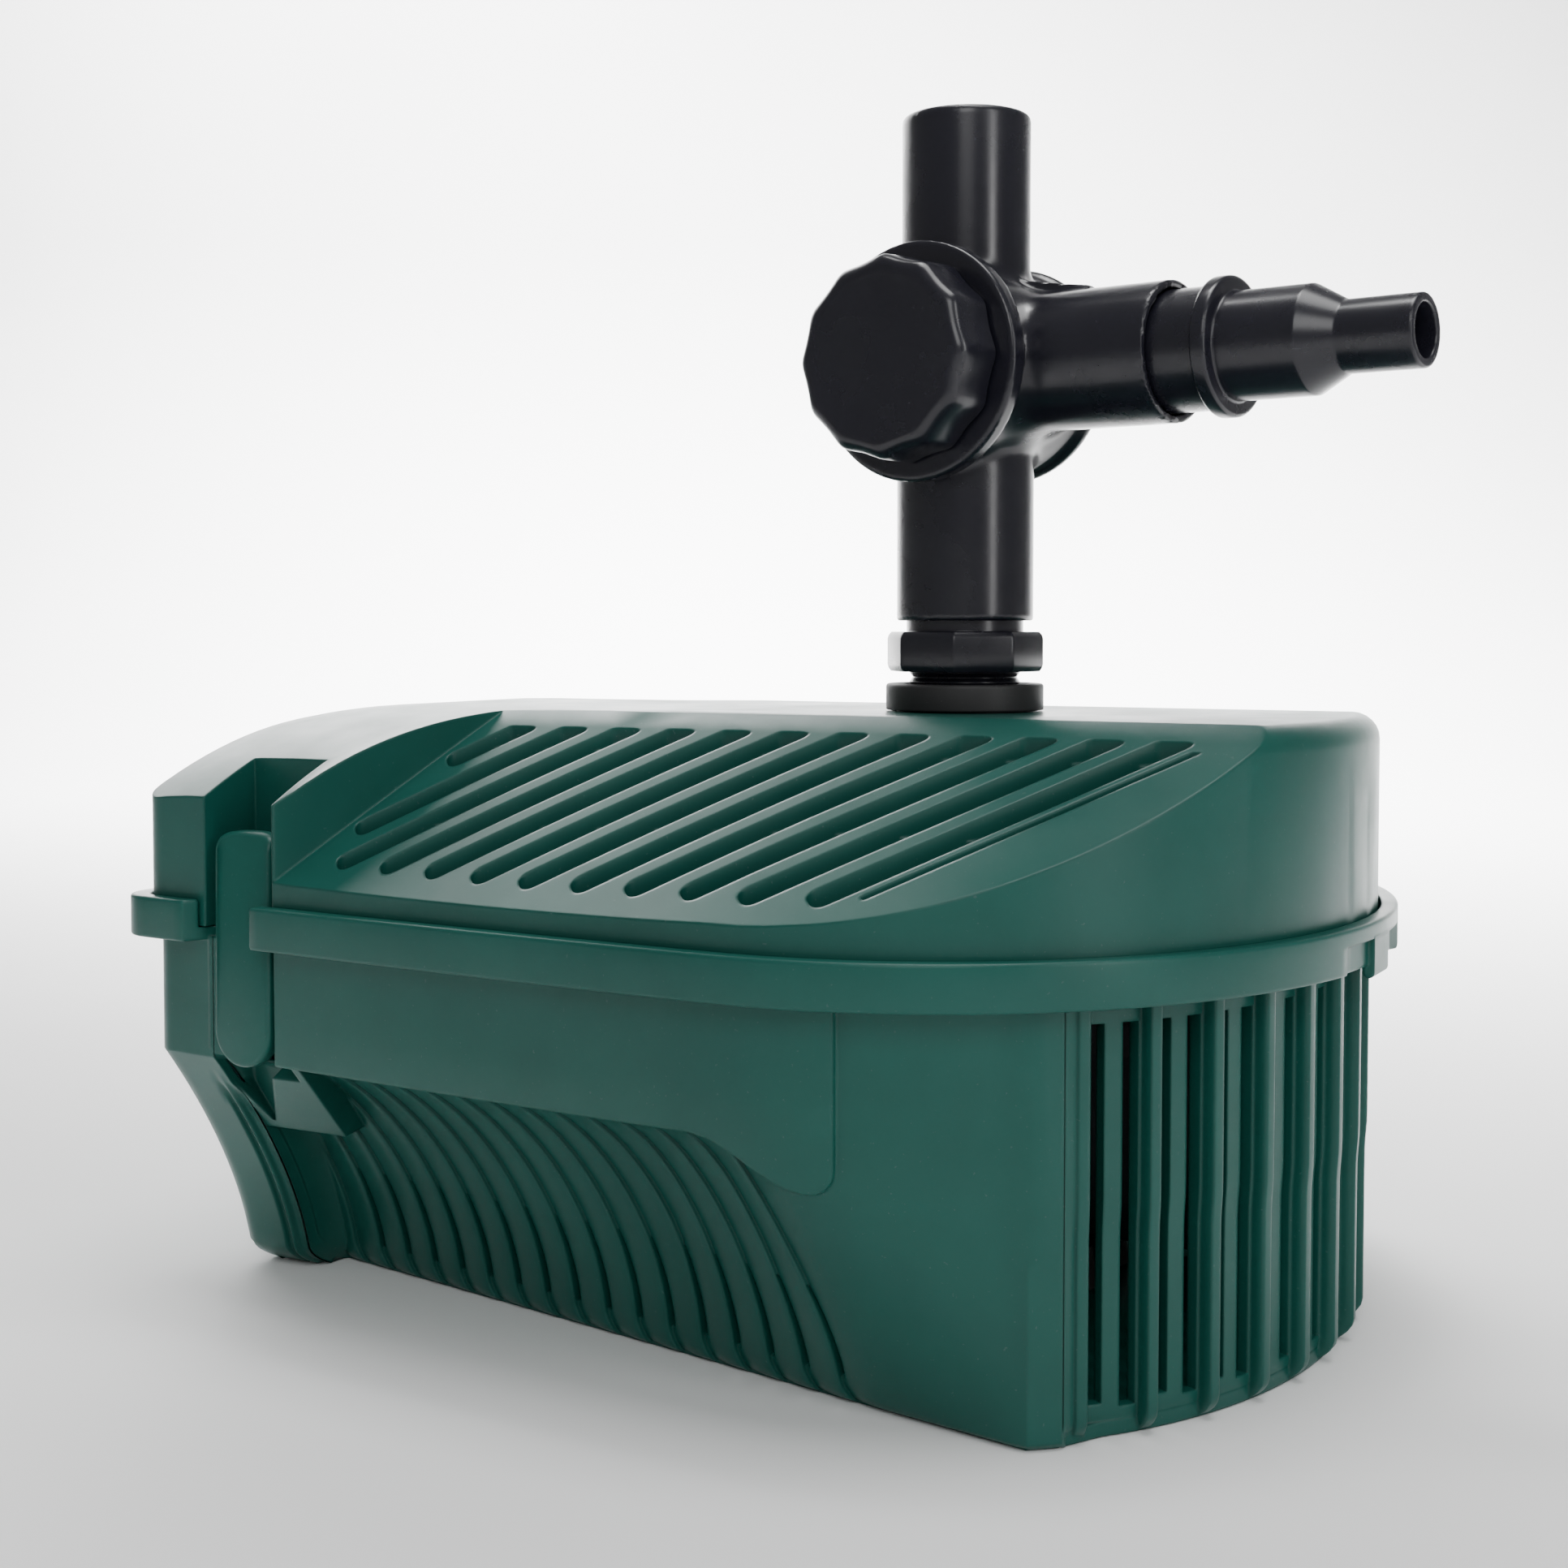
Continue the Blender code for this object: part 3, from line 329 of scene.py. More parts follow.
def casing_outline(inset, side_step=4.0, nose_steps=48):
    """Closed plan outline of the casing, from the middle of the end along the near side and round."""
    radius = END_CORNER - inset / 2
    corner_x = END_X + inset + radius
    corner_y = half_width(corner_x, inset) - radius
    near = [(END_X + inset, 0.0), (END_X + inset, -corner_y / 2)]
    for i in range(9):
        angle = math.pi / 2 * i / 8
        near.append((corner_x - radius * math.cos(angle), -corner_y - radius * math.sin(angle)))
    count = round(128.0 / side_step)
    for i in range(1, count):
        x = corner_x * (1 - i / count)
        near.append((x, -half_width(x, inset)))
    for i in range(nose_steps + 1):
        near.append(nose_point(inset, math.pi / 2 * (1 - i / nose_steps)))
    return near + [(x, -y) for x, y in reversed(near[1:-1])]


# ------------------ base casing

def lean(share):
    """How far back a louvre's edge lies at a share of the wall's height."""
    return LOUVRE_LEAN * max(0.0, (share - 0.15) / 0.85) ** 2


def louvre_offset(u):
    """How far the wall is drawn in across a louvre: deepest after an edge, then rising to the next one."""
    if u > LOUVRE_LAST_X + LOUVRE_PITCH:
        return 0.0
    share = (u - LOUVRE_LAST_X) / LOUVRE_PITCH % 1.0
    if u > LOUVRE_LAST_X:
        return -LOUVRE_DEPTH * max(0.0, 1.0 - share / 0.9) ** 2
    rise = min(1.0, share / 0.86)
    crest = 0.22 * max(0.0, (share - 0.9) / 0.1) ** 2
    return -LOUVRE_DEPTH * (1.0 - math.sin(rise * math.pi / 2)) - crest


def side_columns():
    """Feet of the side wall's columns: close together at each louvre's edge."""
    feet = []
    for k in range(LOUVRES + 1, -1, -1):
        edge = LOUVRE_LAST_X - LOUVRE_PITCH * k
        feet += [edge + LOUVRE_PITCH * s for s in (0.035, 0.1, 0.22, 0.4, 0.6, 0.78, 0.9, 0.96, 0.999)]
    feet = [u for u in feet if u > GROOVE_X]
    return [GROOVE_X] + feet + [17.0, 19.5, 22.0, 25.0, 28.0, 31.0, 34.0, 37.0, 40.0, 42.5, 45.0, 46.8]


WALL_SHARES = [0.0, 0.01, 0.025, 0.05, 0.08, 0.12] + [0.16 + 0.04 * i for i in range(20)] + [0.95, 0.975, 1.0]


def side_wall():
    """The near side wall with its louvres, from the latch end to the nose, up to the rim."""
    outer, inner = [], []
    for u in side_columns():
        fade = min(1.0, max(0.0, (34.0 - u) / 26.0))
        out_column, in_column = [], []
        for share in WALL_SHARES:
            x = max(GROOVE_X, u - lean(share) * fade)
            edge = shoulder_edge(x)
            if u <= LOUVRE_LAST_X + LOUVRE_PITCH:
                x += 2.6 * max(0.0, 1.0 - share / 0.1) ** 2
            foot, top = bottom_half(x), max(half_width(x, BAY_INSET), bottom_half(x))
            half = foot + (top - foot) * cove(x, share)
            calm = min(1.0, (x - GROOVE_X) / 1.5) * min(1.0, (1.0 - share) / 0.07) ** 0.6
            bottom = 1.5 * max(0.0, 1.0 - share / 0.03) ** 2
            out_column.append((x, -(half + louvre_offset(u) * calm - bottom), share * edge))
            in_column.append((x, -(half - WALL), share * edge + FLOOR * (1 - share)))
        for z in (49.0, 56.0, 63.0, 70.0):
            half = max(half_width(x, BAY_INSET), bottom_half(x))
            out_column.append((x, -half, z))
            in_column.append((x, -(half - WALL), z))
        outer.append(out_column)
        inner.append(in_column)
    return shell("side_wall", outer, inner)


def louvre_slits():
    """Cutters for the slit beside each louvre's edge, wider towards its foot."""
    solids = []
    for k in range(LOUVRES):
        foot = LOUVRE_LAST_X - LOUVRE_PITCH * k
        sections = []
        for z, width in ((4.8, 1.15), (8.0, 1.15), (12.0, 1.0), (16.0, 0.75), (19.0, 0.5), (21.5, 0.2)):
            x = foot - lean(z / shoulder_edge(foot)) + 0.1
            half = bottom_half(x)
            sections.append([(x, -(half - 9), z), (x + width, -(half - 9), z),
                             (x + width, -(half + 20), z), (x, -(half + 20), z)])
        solids.append(loft("slit", sections))
    return join_meshes("louvre_slits", solids)


def shoulder_panel():
    """The smooth panel over the louvres, standing proud, with a rounded lower corner at its nose end."""
    right, corner = 15.5, 4.0
    xs = [NOTCH_X[1] - 1.1, -100.3] + [-98.0 + 4.0 * i for i in range(26)]
    xs += [5.5, 8.5, 10.5, 11.5, 12.5, 13.5, 14.3, 14.9, 15.3, right]
    sections = []
    for x in xs:
        past = max(0.0, x - (right - corner))
        low = shoulder_edge(x) + (corner - math.sqrt(max(0.0, corner ** 2 - past ** 2)))
        out, back = half_width(x, WALL_INSET), half_width(x, BAY_INSET + 0.6)
        edge = 0.35 if x < right - 0.1 else 0.0
        sections.append([(x, -back, low), (x, -(out - 0.5), low), (x, -(out - 0.12), low + edge * 0.6),
                         (x, -out, low + edge * 2), (x, -out, 55.0), (x, -out, 62.0),
                         (x, -out, WALL_TOP), (x, -back, WALL_TOP)])
    rear = sections[0][0][1]
    eased = [(x - 0.4, min(y + 0.45, rear) if y < rear - 0.2 else y, z) for x, y, z in sections[0]]
    return loft("shoulder_panel", [eased] + sections)


def end_block():
    """The end wall and its near corner, up to the latch channel, with two grooves down its edge."""
    radius = END_CORNER - WALL_INSET / 2
    shares = [0.0, 0.01, 0.022, 0.036, 0.055, 0.075] + [0.1 + 0.06 * i for i in range(15)]
    shares += [0.97, 0.985, 1.0]
    outer, inner = [], []

    def column(x, half_shift, place_x, groove=0.0, sink=0.0):
        top = half_width(place_x, WALL_INSET)
        across_end = 1.0 if half_shift < -0.5 else 0.0
        out_column, in_column = [], []
        for share in shares:
            half = END_FOOT + (top - END_FOOT) * share ** 1.6
            half += sink * (louvred_half(x, share) - 0.8 - half)
            bottom = 6.0 * max(0.0, 1.0 - share / 0.11) ** 2
            cut = groove * share_of((0.86 - share) / 0.06)
            y = -(half + half_shift) + bottom * (1.0 if half_shift > -3 else 0.3) + cut
            out_column.append((x + bottom * across_end, min(0.0, y), share * SHOULDER_LOW))
            in_column.append((x + WALL * across_end, min(0.0, y + WALL),
                              share * SHOULDER_LOW + FLOOR * (1 - share)))
        for z in (48.2, 55.0, 62.0, WALL_TOP):
            out_column.append((x, min(0.0, -(top + half_shift)), z))
            in_column.append((x + WALL * across_end, min(0.0, -(top + half_shift) + WALL), z))
        outer.append(out_column)
        inner.append(in_column)

    corner_x = END_X + WALL_INSET + radius
    column(END_X + WALL_INSET, -200.0, corner_x)
    column(END_X + WALL_INSET, -40.0, corner_x)
    for i in range(9):
        angle = math.pi / 2 * i / 8
        column(corner_x - radius * math.cos(angle), -radius * (1 - math.sin(angle)), corner_x)
    for x, groove in ((-129, 0), (-127, 0), (-125, 0), (-123.4, 0), (-123.0, 1.0), (-122.2, 1.3),
                      (-121.8, 0.3), (-121.3, 0.0), (-121.0, 0.2), (-120.6, 1.4), (-119.7, 1.8),
                      (-118.9, 1.8)):
        column(x, 0.0, x, groove)
    for i in range(1, 9):
        sink = i / 8
        column(-119.1 + 3.0 * sink ** 3, 0.0, -118.9, 0.0, sink)
    return shell("end_block", outer, inner)


def louvred_half(x, share):
    """Half-width of the louvred wall, without its louvres, at a share of its height."""
    foot = bottom_half(max(x, END_BLOCK_X))
    top = half_width(x, BAY_INSET)
    return foot + (top - foot) * cove(x, share)


def latch_way():
    """Cutter for the upright channel that the latch lies in."""
    outline = [(-95.0, 80.0), (-95.0, 43.0), (-73.6, 43.0), (-70.4, 48.0), (-70.4, 80.0)]
    return prism("latch_way", outline, *NOTCH_X, along_x)


def latch_channel():
    """The trough behind the latch and the web under it, with the V between its two slopes."""
    outline = [(-76.8, 70.0), (-76.8, 48.0), (-62.5, 31.6), (-54.0, 33.0), (-66.5, 50.0), (-66.5, 70.0)]
    block = prism("block", outline, -120.2, -99.6, along_x)
    valley = []
    for left, right, inside, z in ((-121.5, -104.5, -69.5, 49.0), (-116.4, -115.6, -62.6, 33.4)):
        valley.append([(left, -95.0, z), (right, -95.0, z), (right, inside, z), (left, inside, z)])
    return carve(block, [(CUT, latch_way()), (CUT, loft("valley", valley))])


def nose_angle(arc):
    """The angle round the nose at a distance along its wall from the tip."""
    a, b = NOSE_LENGTH - WALL_INSET, HALF_WIDTH - WALL_INSET
    angle, step = 0.0, 0.001
    while arc > 0:
        arc -= step * math.hypot(a * math.sin(angle), b * math.cos(angle))
        angle += step
    return angle


def nose_wall():
    """The nose wall from the side to the tip, with its raised ribs and the step at half height."""
    heights = [0.0, 0.25, 0.8, 1.6, 2.8, 4.0, 6.0, 12.0, 20.0, 28.0, 32.0, 34.0, 35.5, 37.0, 39.0,
               46.0, 56.0, 66.0, WALL_TOP]
    last_rib = RIB_PITCH * (NOSE_RIBS - 0.5)
    rib = [(4.0, 0.0), (1.45, 0.0), (1.35, 0.35), (1.25, 0.8), (0.95, 1.0), (0.0, 1.03), (-0.95, 1.0),
           (-1.25, 0.8), (-1.35, 0.35), (-1.45, 0.0), (-4.0, 0.0)]
    arcs = [(last_rib + 3.2, 1.0)]
    for i in reversed(range(NOSE_RIBS)):
        first = 3 if i == NOSE_RIBS - 1 else 0
        arcs += [(RIB_PITCH * (i + 0.5) + shift, raised) for shift, raised in rib[first:]]
    arcs.append((0.0, 0.0))
    outer, inner = [], []
    for arc, raised in arcs:
        angle = nose_angle(arc)
        out_column, in_column = [], []
        for z in heights:
            jog = NOSE_JOG / (1.0 + math.exp((z - 35.0) / 1.1))
            foot = 3.2 * max(0.0, 1.0 - z / 4.0) ** 2 * (1.0 if raised else 0.45)
            jog *= 1.0 if arc < last_rib + 2.6 else 0.0
            inset = WALL_INSET + RIB_DEPTH * (1.0 - raised) + jog + foot
            out_column.append((*nose_point(inset, angle), z))
            in_column.append((*nose_point(WALL_INSET + RIB_DEPTH + WALL + NOSE_JOG, angle), z))
        outer.append(out_column)
        inner.append(in_column)
    return shell("nose_wall", outer, inner)


def nose_slots():
    """Cutters for the upright slots between the ribs on the near half of the nose."""
    a, b = NOSE_LENGTH - WALL_INSET, HALF_WIDTH - WALL_INSET
    solids = []
    for i in range(2 * NOSE_RIBS - 1):
        angle = nose_angle(RIB_PITCH * (i + 0.5) / 2)
        x, y = a * math.cos(angle), -b * math.sin(angle)
        nx, ny = x / a ** 2, y / b ** 2
        size = math.hypot(nx, ny)
        nx, ny = nx / size, ny / size
        half = SLOT_WIDTH / 2
        outline = [(x + p * nx - q * ny, y + p * ny + q * nx)
                   for p, q in ((-13, -half), (13, -half), (13, half), (-13, half))]
        solids.append(prism("slot", outline, 4.6 if i % 2 else 5.4, 66.0))
    return join_meshes("nose_slots", solids)


def rim_band():
    """The rim round the casing: two lengths that end at the latch channels, with softened edges."""
    profile = rounded([(WALL_INSET + 1.0, RIM_LOW, 0), (0.0, RIM_LOW, 0.55), (0.0, LIP_LOW, 0),
                       (0.0, LIP_LOW + 0.2, 0), (0.0, RIM_TOP, 0.6),
                       (RIM_INNER_INSET, RIM_TOP, 0.3), (RIM_INNER_INSET, LEDGE, 0.3),
                       (WALL_INSET + 3.8, LEDGE, 0.2), (WALL_INSET + 3.8, RIM_LOW, 0)], 0.4)
    outlines = [casing_outline(inset, 2.0, 64) for inset, z in profile]
    stations = [[(line[k][0], line[k][1], z) for line, (inset, z) in zip(outlines, profile)]
                for k in range(len(outlines[0]))]
    plan = outlines[0]
    long_part = [[tip_step(p) for p in stations[k]] for k in range(len(plan))
                 if plan[k][0] > NOTCH_X[1] - 1.0]
    reach = TONGUE_HALF + 0.6
    room = box_mesh("room", (NOSE_LENGTH - 5.5, -reach, LEDGE - 0.9), (NOSE_LENGTH - 2.4, reach, LIP_LOW))
    long_rim = carve(loft("rim_long", soften_ends(long_part)), [(CUT, room)])
    end = [k for k in range(len(plan)) if plan[k][0] < NOTCH_X[0] - 0.3]
    end = [k for k in end if plan[k][1] > 0] + [k for k in end if plan[k][1] <= 0]
    end_rim = loft("rim_end", soften_ends([stations[k] for k in end]))
    return join_meshes("rim_band", [long_rim, rim_lug(), end_rim])


def soften_ends(sections):
    """The sections with a slightly smaller copy at each end, for a softened end edge."""
    def shrunk(section, towards, reach):
        middle = [sum(c) / len(section) for c in zip(*section)]
        away = [a - b for a, b in zip(middle, [sum(c) / len(towards) for c in zip(*towards)])]
        size = math.sqrt(sum(c * c for c in away))
        return [tuple(m + (p - m) * 0.93 + reach * a / size for p, m, a in zip(point, middle, away))
                for point in section]
    return [shrunk(sections[0], sections[1], 0.4)] + sections + [shrunk(sections[-1], sections[-2], 0.4)]


def tip_step(point):
    """The rim's outside stands back below its lip at the nose tip."""
    x, y, z = point
    half, depth = RIM_STEP
    outside = math.hypot(x / NOSE_LENGTH, y / HALF_WIDTH) > 0.985
    if x < 0 or z > LIP_LOW + 0.1 or not outside:
        return point
    return (x - depth / (1.0 + math.exp((abs(y) - half) / 0.15)), y, z)


def rim_lug():
    """Round-bottomed lug that hangs below the rim's lip at the nose."""
    middle, radius = sum(LUG_X) / 2, (LUG_X[1] - LUG_X[0]) / 2
    points = [(LUG_X[0], LIP_LOW + 0.4), (LUG_X[1], LIP_LOW + 0.4)]
    for i in range(17):
        angle = -math.pi * i / 16
        points.append((middle + radius * math.cos(angle), LUG_LOW + radius + radius * math.sin(angle)))
    return prism("lug", points, -LUG_HALF, LUG_HALF, along_y)


def floor_plate():
    """The flat bottom, just inside the rounded foot of the walls."""
    outline = []
    for x in [END_X + WALL_INSET + 7.0] + [-122.1 + 4.0 * i for i in range(43)]:
        outline.append((x, -(bottom_half(x) - (7.5 if x < END_BLOCK_X else 1.3))))
    inset = WALL_INSET + 3.2
    outline += [nose_point(inset, math.radians(47.0) * (1 - i / 24)) for i in range(1, 24)]
    outline.append((NOSE_LENGTH - WALL_INSET - 3.2, 0.0))
    outline += [(x, -y) for x, y in reversed(outline[:-1])]
    return prism("floor", outline, 0.0, FLOOR)


def base_casing(mat):
    """All the base casing's walls as one piece."""
    side = carve(side_wall(), [(CUT, louvre_slits()), (CUT, latch_way())])
    nose = carve(nose_wall(), [(CUT, nose_slots())])
    near = [side, nose, shoulder_panel(), end_block(), latch_channel()]
    whole = join_meshes("base", near + [mirrored(m) for m in near] + [rim_band(), floor_plate()])
    return piece("casing_body", whole, mat, "casing", ["base_casing"])


# ------------------ lid

ABOVE, BESIDE = 140.0, 110.0  # how far the lid's cutters reach, up and to the side


def panel_height(x, y):
    slope = PANEL_SLOPE + PANEL_TWIST * max(0.0, -x)
    return LID_TOP - slope * (abs(y) - RIDGE_Y)


def roof_height(x, y):
    """The end of the lid: crowned, falling to its corners."""
    side = max(0.0, abs(y) - 20.0)
    end = max(0.0, -x - 112.0)
    return LID_TOP + 0.02 - 0.0045 * side ** 2 * share_of((-x - 60.0) / 40.0) - 0.004 * end ** 2


def height_cutter(name, columns, rows, height):
    """Solid above a height function; each column runs from one (x, y) to another in even rows."""
    low, high = [], []
    for (x0, y0), (x1, y1) in columns:
        line = [(x0 + (x1 - x0) * i / rows, y0 + (y1 - y0) * i / rows) for i in range(rows + 1)]
        low.append([(x, y, height(x, y)) for x, y in line])
        high.append([(x, y, ABOVE) for x, y in line])
    return shell(name, low, high)


def panel_cutter(side, drop, margin):
    """Cutter above the slotted panel on one side, from the wall beside it to past the nose."""
    start, end = PANEL_START[0] + margin, 100.0
    foot = start + PANEL_START[1] * (BESIDE - RIDGE_Y)
    columns = []
    for t in [0.0, 0.04, 0.1] + [0.18 + 0.0745 * i for i in range(12)]:
        columns.append(((start + (end - start) * t, side * RIDGE_Y),
                        (foot + (end - foot) * t, side * BESIDE)))
    return height_cutter("panel", columns, 14, lambda x, y: panel_height(x, y) - drop)


def lid_form(inset, low, top, fillet):
    """The lid's outside: upright walls with a rounded top edge."""
    outline = casing_outline(inset)
    sections = [[(x, y, low) for x, y in outline], [(x, y, top - fillet) for x, y in outline]]
    for i in range(1, 7):
        angle = math.pi / 2 * i / 6
        sections.append([(x, y, top - fillet + fillet * math.sin(angle))
                         for x, y in casing_outline(inset + fillet * (1 - math.cos(angle)))])
    return loft("lid_form", sections)


def slot_outlines():
    """Plan outlines of the near panel's diagonal slots and of the thin slit after the last."""
    outlines = []
    along = Vector((-1.0, -1.0)).normalized()
    for i in range(GRILLE_SLOTS):
        top = Vector((GRILLE_FIRST_X + GRILLE_PITCH * i, GRILLE_TOP_Y))
        outlines.append(slot_outline(top, top + along * slot_reach(top, along), GRILLE_SLOT / 2))
    slit = top + Vector((6.6, 0.0)) + along * 4.0
    outlines.append(slot_outline(slit, slit + along * slot_reach(slit, along), 0.75))
    return outlines


def slot_outline(top, last, half):
    """A diagonal slot whose upper end runs level with the ridge and whose lower end is round."""
    along = (last - top).normalized()
    across = Vector((-along.y, along.x))
    upper = [top + across * half - along * half, top - across * half + along * half]
    corners = [(*p, half * 0.7) for p in upper]
    corners += [(*(last - across * half), half), (*(last + across * half), half)]
    return rounded(corners, half, steps=6)


def slot_reach(top, along):
    """How far a slot runs before it meets the wall beside the panel or the panel's lower border."""
    reach = 0.0
    while reach < 75.0:
        tip = top + along * (reach + 2.0)
        wall_x = PANEL_START[0] + PANEL_START[1] * (-tip.y - RIDGE_Y)
        if tip.x < wall_x + 2.5 or -tip.y > half_width(tip.x, LID_INSET) - GRILLE_BORDER:
            break
        reach += 0.5
    return reach


def grille_ribs():
    """Cross ribs under the bars of both slotted panels, which show through the slots."""
    ribs = []
    for y, left, right in ((38.5, -82.0, 62.0), (60.0, -88.0, 46.0)):
        for side in (-1, 1):
            sections = []
            for i in range(13):
                x = left + (right - left) * i / 12
                low, high = panel_height(x, y) - 7.6, panel_height(x, y) - 3.4
                sections.append([(x, side * (y - 0.9), low), (x, side * (y + 0.9), low),
                                 (x, side * (y + 0.9), high), (x, side * (y - 0.9), high)])
            ribs.append(loft("rib", sections))
    return ribs


def hinge_tongue():
    """Curled tongue on the lid's foot that reaches under the rim's lip."""
    inner, outer = TONGUE_RADII
    points = []
    for radius, start, end in ((outer, 180.0, TONGUE_END), (inner, TONGUE_END, 180.0)):
        for i in range(17):
            angle = math.radians(start + (end - start) * i / 16)
            points.append((HINGE[0] + radius * math.cos(angle), HINGE[1] + radius * math.sin(angle)))
    return prism("tongue", points, -TONGUE_HALF, TONGUE_HALF, along_y)


def lid(mat):
    """The lid shell: crowned end, slotted panels, latch notches, outlet hole, tab and tongue."""
    form = lid_form(LID_INSET, LID_FOOT, LID_TOP, 4.5)
    xs = [-150.0, -141.0, -136.0, -130.0, -124.0, -118.0, -110.0, -100.0, -90.0, -78.0, -60.0]
    across = [((x, -BESIDE), (x, BESIDE)) for x in xs]
    roof = height_cutter("roof", across, 60, roof_height)
    inner_roof = height_cutter("inner_roof", across, 60, lambda x, y: roof_height(x, y) - WALL)
    hollow = lid_form(LID_INSET + WALL, 60.0, LID_TOP - WALL, 3.0)
    steps = [(CUT, inner_roof)]
    for side in (-1, 1):
        steps.append((CUT, panel_cutter(side, 5.5, -2.0)))
        low, high = sorted((side * 62.0, side * 100.0))
        keep = box_mesh("keep", (NOTCH_X[0] - 2, low, 50), (NOTCH_X[1] + 2, high, 130))
        steps.append((CUT, keep))
    hollow = carve(hollow, steps)
    steps = [(CUT, roof)]
    for side in (-1, 1):
        steps.append((CUT, panel_cutter(side, 0.0, 0.0)))
        low, high = sorted((side * 64.5, side * 105.0))
        notch = box_mesh("notch", (NOTCH_X[0], low, 45), (NOTCH_X[1], high, 135))
        steps.append((CUT, notch))
    steps.append((CUT, hollow))
    steps.append((CUT, prism("outlet_hole", circle(13.6, 64), 100.0, 120.0)))
    tab = box_mesh("tab", (END_X - 4.0, -16.0, 78.0), (END_X + LID_INSET + 1.0, 16.0, 81.6))
    steps.append((JOIN, tab))
    steps.append((JOIN, hinge_tongue()))
    slots = []
    for line in slot_outlines():
        slots.append(prism("slot", line, 65.0, 130.0))
        slots.append(prism("slot", [(x, -y) for x, y in reversed(line)], 65.0, 130.0))
    steps.append((CUT, join_meshes("slots", slots)))
    steps += [(JOIN, rib) for rib in grille_ribs()]
    return piece("lid_shell", carve(form, steps), mat, "lid", ["lid"], 30.0)


# ------------------ latches

def latch(word, side, mat, node):
    """The latch tongue: a long rounded slab whose top curls back, with its pivot stubs and catch nib."""
    middle = (LATCH_X[0] + LATCH_X[1]) / 2
    radius = (LATCH_X[1] - LATCH_X[0]) / 2 - 0.2

    def outline(draw):
        points = []
        size = radius - draw
        for centre, turn, flat in ((LATCH_Z[1] - 3.5, 0.0, 0.6), (LATCH_Z[0] + radius, math.pi, 1.0)):
            for i in range(25):
                angle = turn + math.pi * i / 24
                c, s = math.cos(angle), math.sin(angle)
                high = size if flat == 1.0 else 3.5 - draw
                points.append((middle + size * math.copysign(abs(c) ** flat, c),
                               centre + high * math.copysign(abs(s) ** flat, s)))
        return points

    sections = []
    for depth, draw in ((0.0, 0.9), (0.12, 0.45), (0.45, 0.12), (0.9, 0.0), (2.8, 0.0), (3.1, 0.1),
                        (3.2, 0.4)):
        sections.append([(x, -79.0 + depth + 0.035 * max(0.0, z - 83.0) ** 2, z)
                         for x, z in outline(draw)])
    tongue = loft("tongue", sections)
    z = LATCH_PIVOT[1]
    stub = prism("stub", circle(1.4, 24, LATCH_PIVOT), NOTCH_X[0] - 1.3, NOTCH_X[1] + 1.3, along_x)
    boss = box_mesh("boss", (-115.5, -76.5, z - 3.0), (-105.3, -72.6, z + 3.0))
    nib = box_mesh("nib", (-114.0, -76.5, 82.4), (-106.8, -72.0, 84.6))
    whole = join_meshes("latch", [tongue, stub, boss, nib])
    if side < 0:
        whole = mirrored(whole)
    return piece(f"latch_tongue_{word}", whole, mat, f"latch_{word}", [node])


# ------------------ outlet stack

def tee_place():
    return Matrix.Translation((0, 0, TEE_Z * MM)) @ Matrix.Rotation(BRANCH_ANGLE, 4, "Z")


def quarter(axis):
    return Matrix.Rotation(math.pi / 2, 4, axis)


def outlet(mats):
    """The round collar, and the threaded nipple with its octagon."""
    profile = [(15.0, COLLAR_TOP, 0.7), (15.0, 112.3, 0.3), (13.0, 112.3, 0), (13.0, 92.6, 0.4),
               (9.4, 92.6, 0.2), (9.4, 104.0, 0), (11.2, 104.0, 0), (11.2, 116.4, 0.4),
               (12.4, COLLAR_TOP, 0.3)]
    collar = lathe("collar", rounded(profile, 0.3))
    piece("outlet_collar", collar, mats["matte_black"], "lid", ["outlet_adapter"])
    profile = [(11.1, 146.0, 0.4), (11.1, 128.0, 0), (11.1, 126.8, 0), (10.2, 126.0, 0), (10.2, 120.6, 0)]
    for i in range(9):
        z = 119.4 - 1.81 * i
        profile += [(10.5, z, 0.1), (9.9, z - 0.9, 0.1)]
    profile += [(9.9, 104.4, 0), (8.0, 104.4, 0), (8.0, 146.0, 0.3)]
    nipple = lathe("nipple", rounded(profile, 0.0))
    corners = [math.radians(15.7 + 45 * i) for i in range(8)]
    octagon = rounded([(15.0 * math.cos(a), 15.0 * math.sin(a), 0.7) for a in corners], 0.7)
    sections = []
    for z, share in ((119.6, 0.80), (119.6, 0.955), (120.2, 0.985), (120.9, 1.0), (125.8, 1.0),
                     (126.5, 0.985), (127.1, 0.95), (127.1, 0.80)):
        sections.append([(x * share, y * share, z) for x, y in octagon])
    bore = prism("ring_bore", circle(8.0, 48), 118.0, 129.0)
    ring = carve(loft("octagon_ring", sections), [(CUT, bore)])
    piece("outlet_thread", join_meshes("stack", [nipple, ring]), mats["black_plastic"], "lid",
          ["outlet_nipple"])


def knob_radius(angle):
    """Outline of the grip at an angle: twelve slightly hollow sides between softened corners."""
    side = math.tau / 12
    total = 0.0
    for shift in (-0.05, -0.025, 0.0, 0.025, 0.05):
        turn = (angle + shift) % side
        flat = math.cos(side / 2) / math.cos(turn - side / 2)
        total += flat - 0.016 * math.sin(math.pi * turn / side) ** 2
    return total / 5


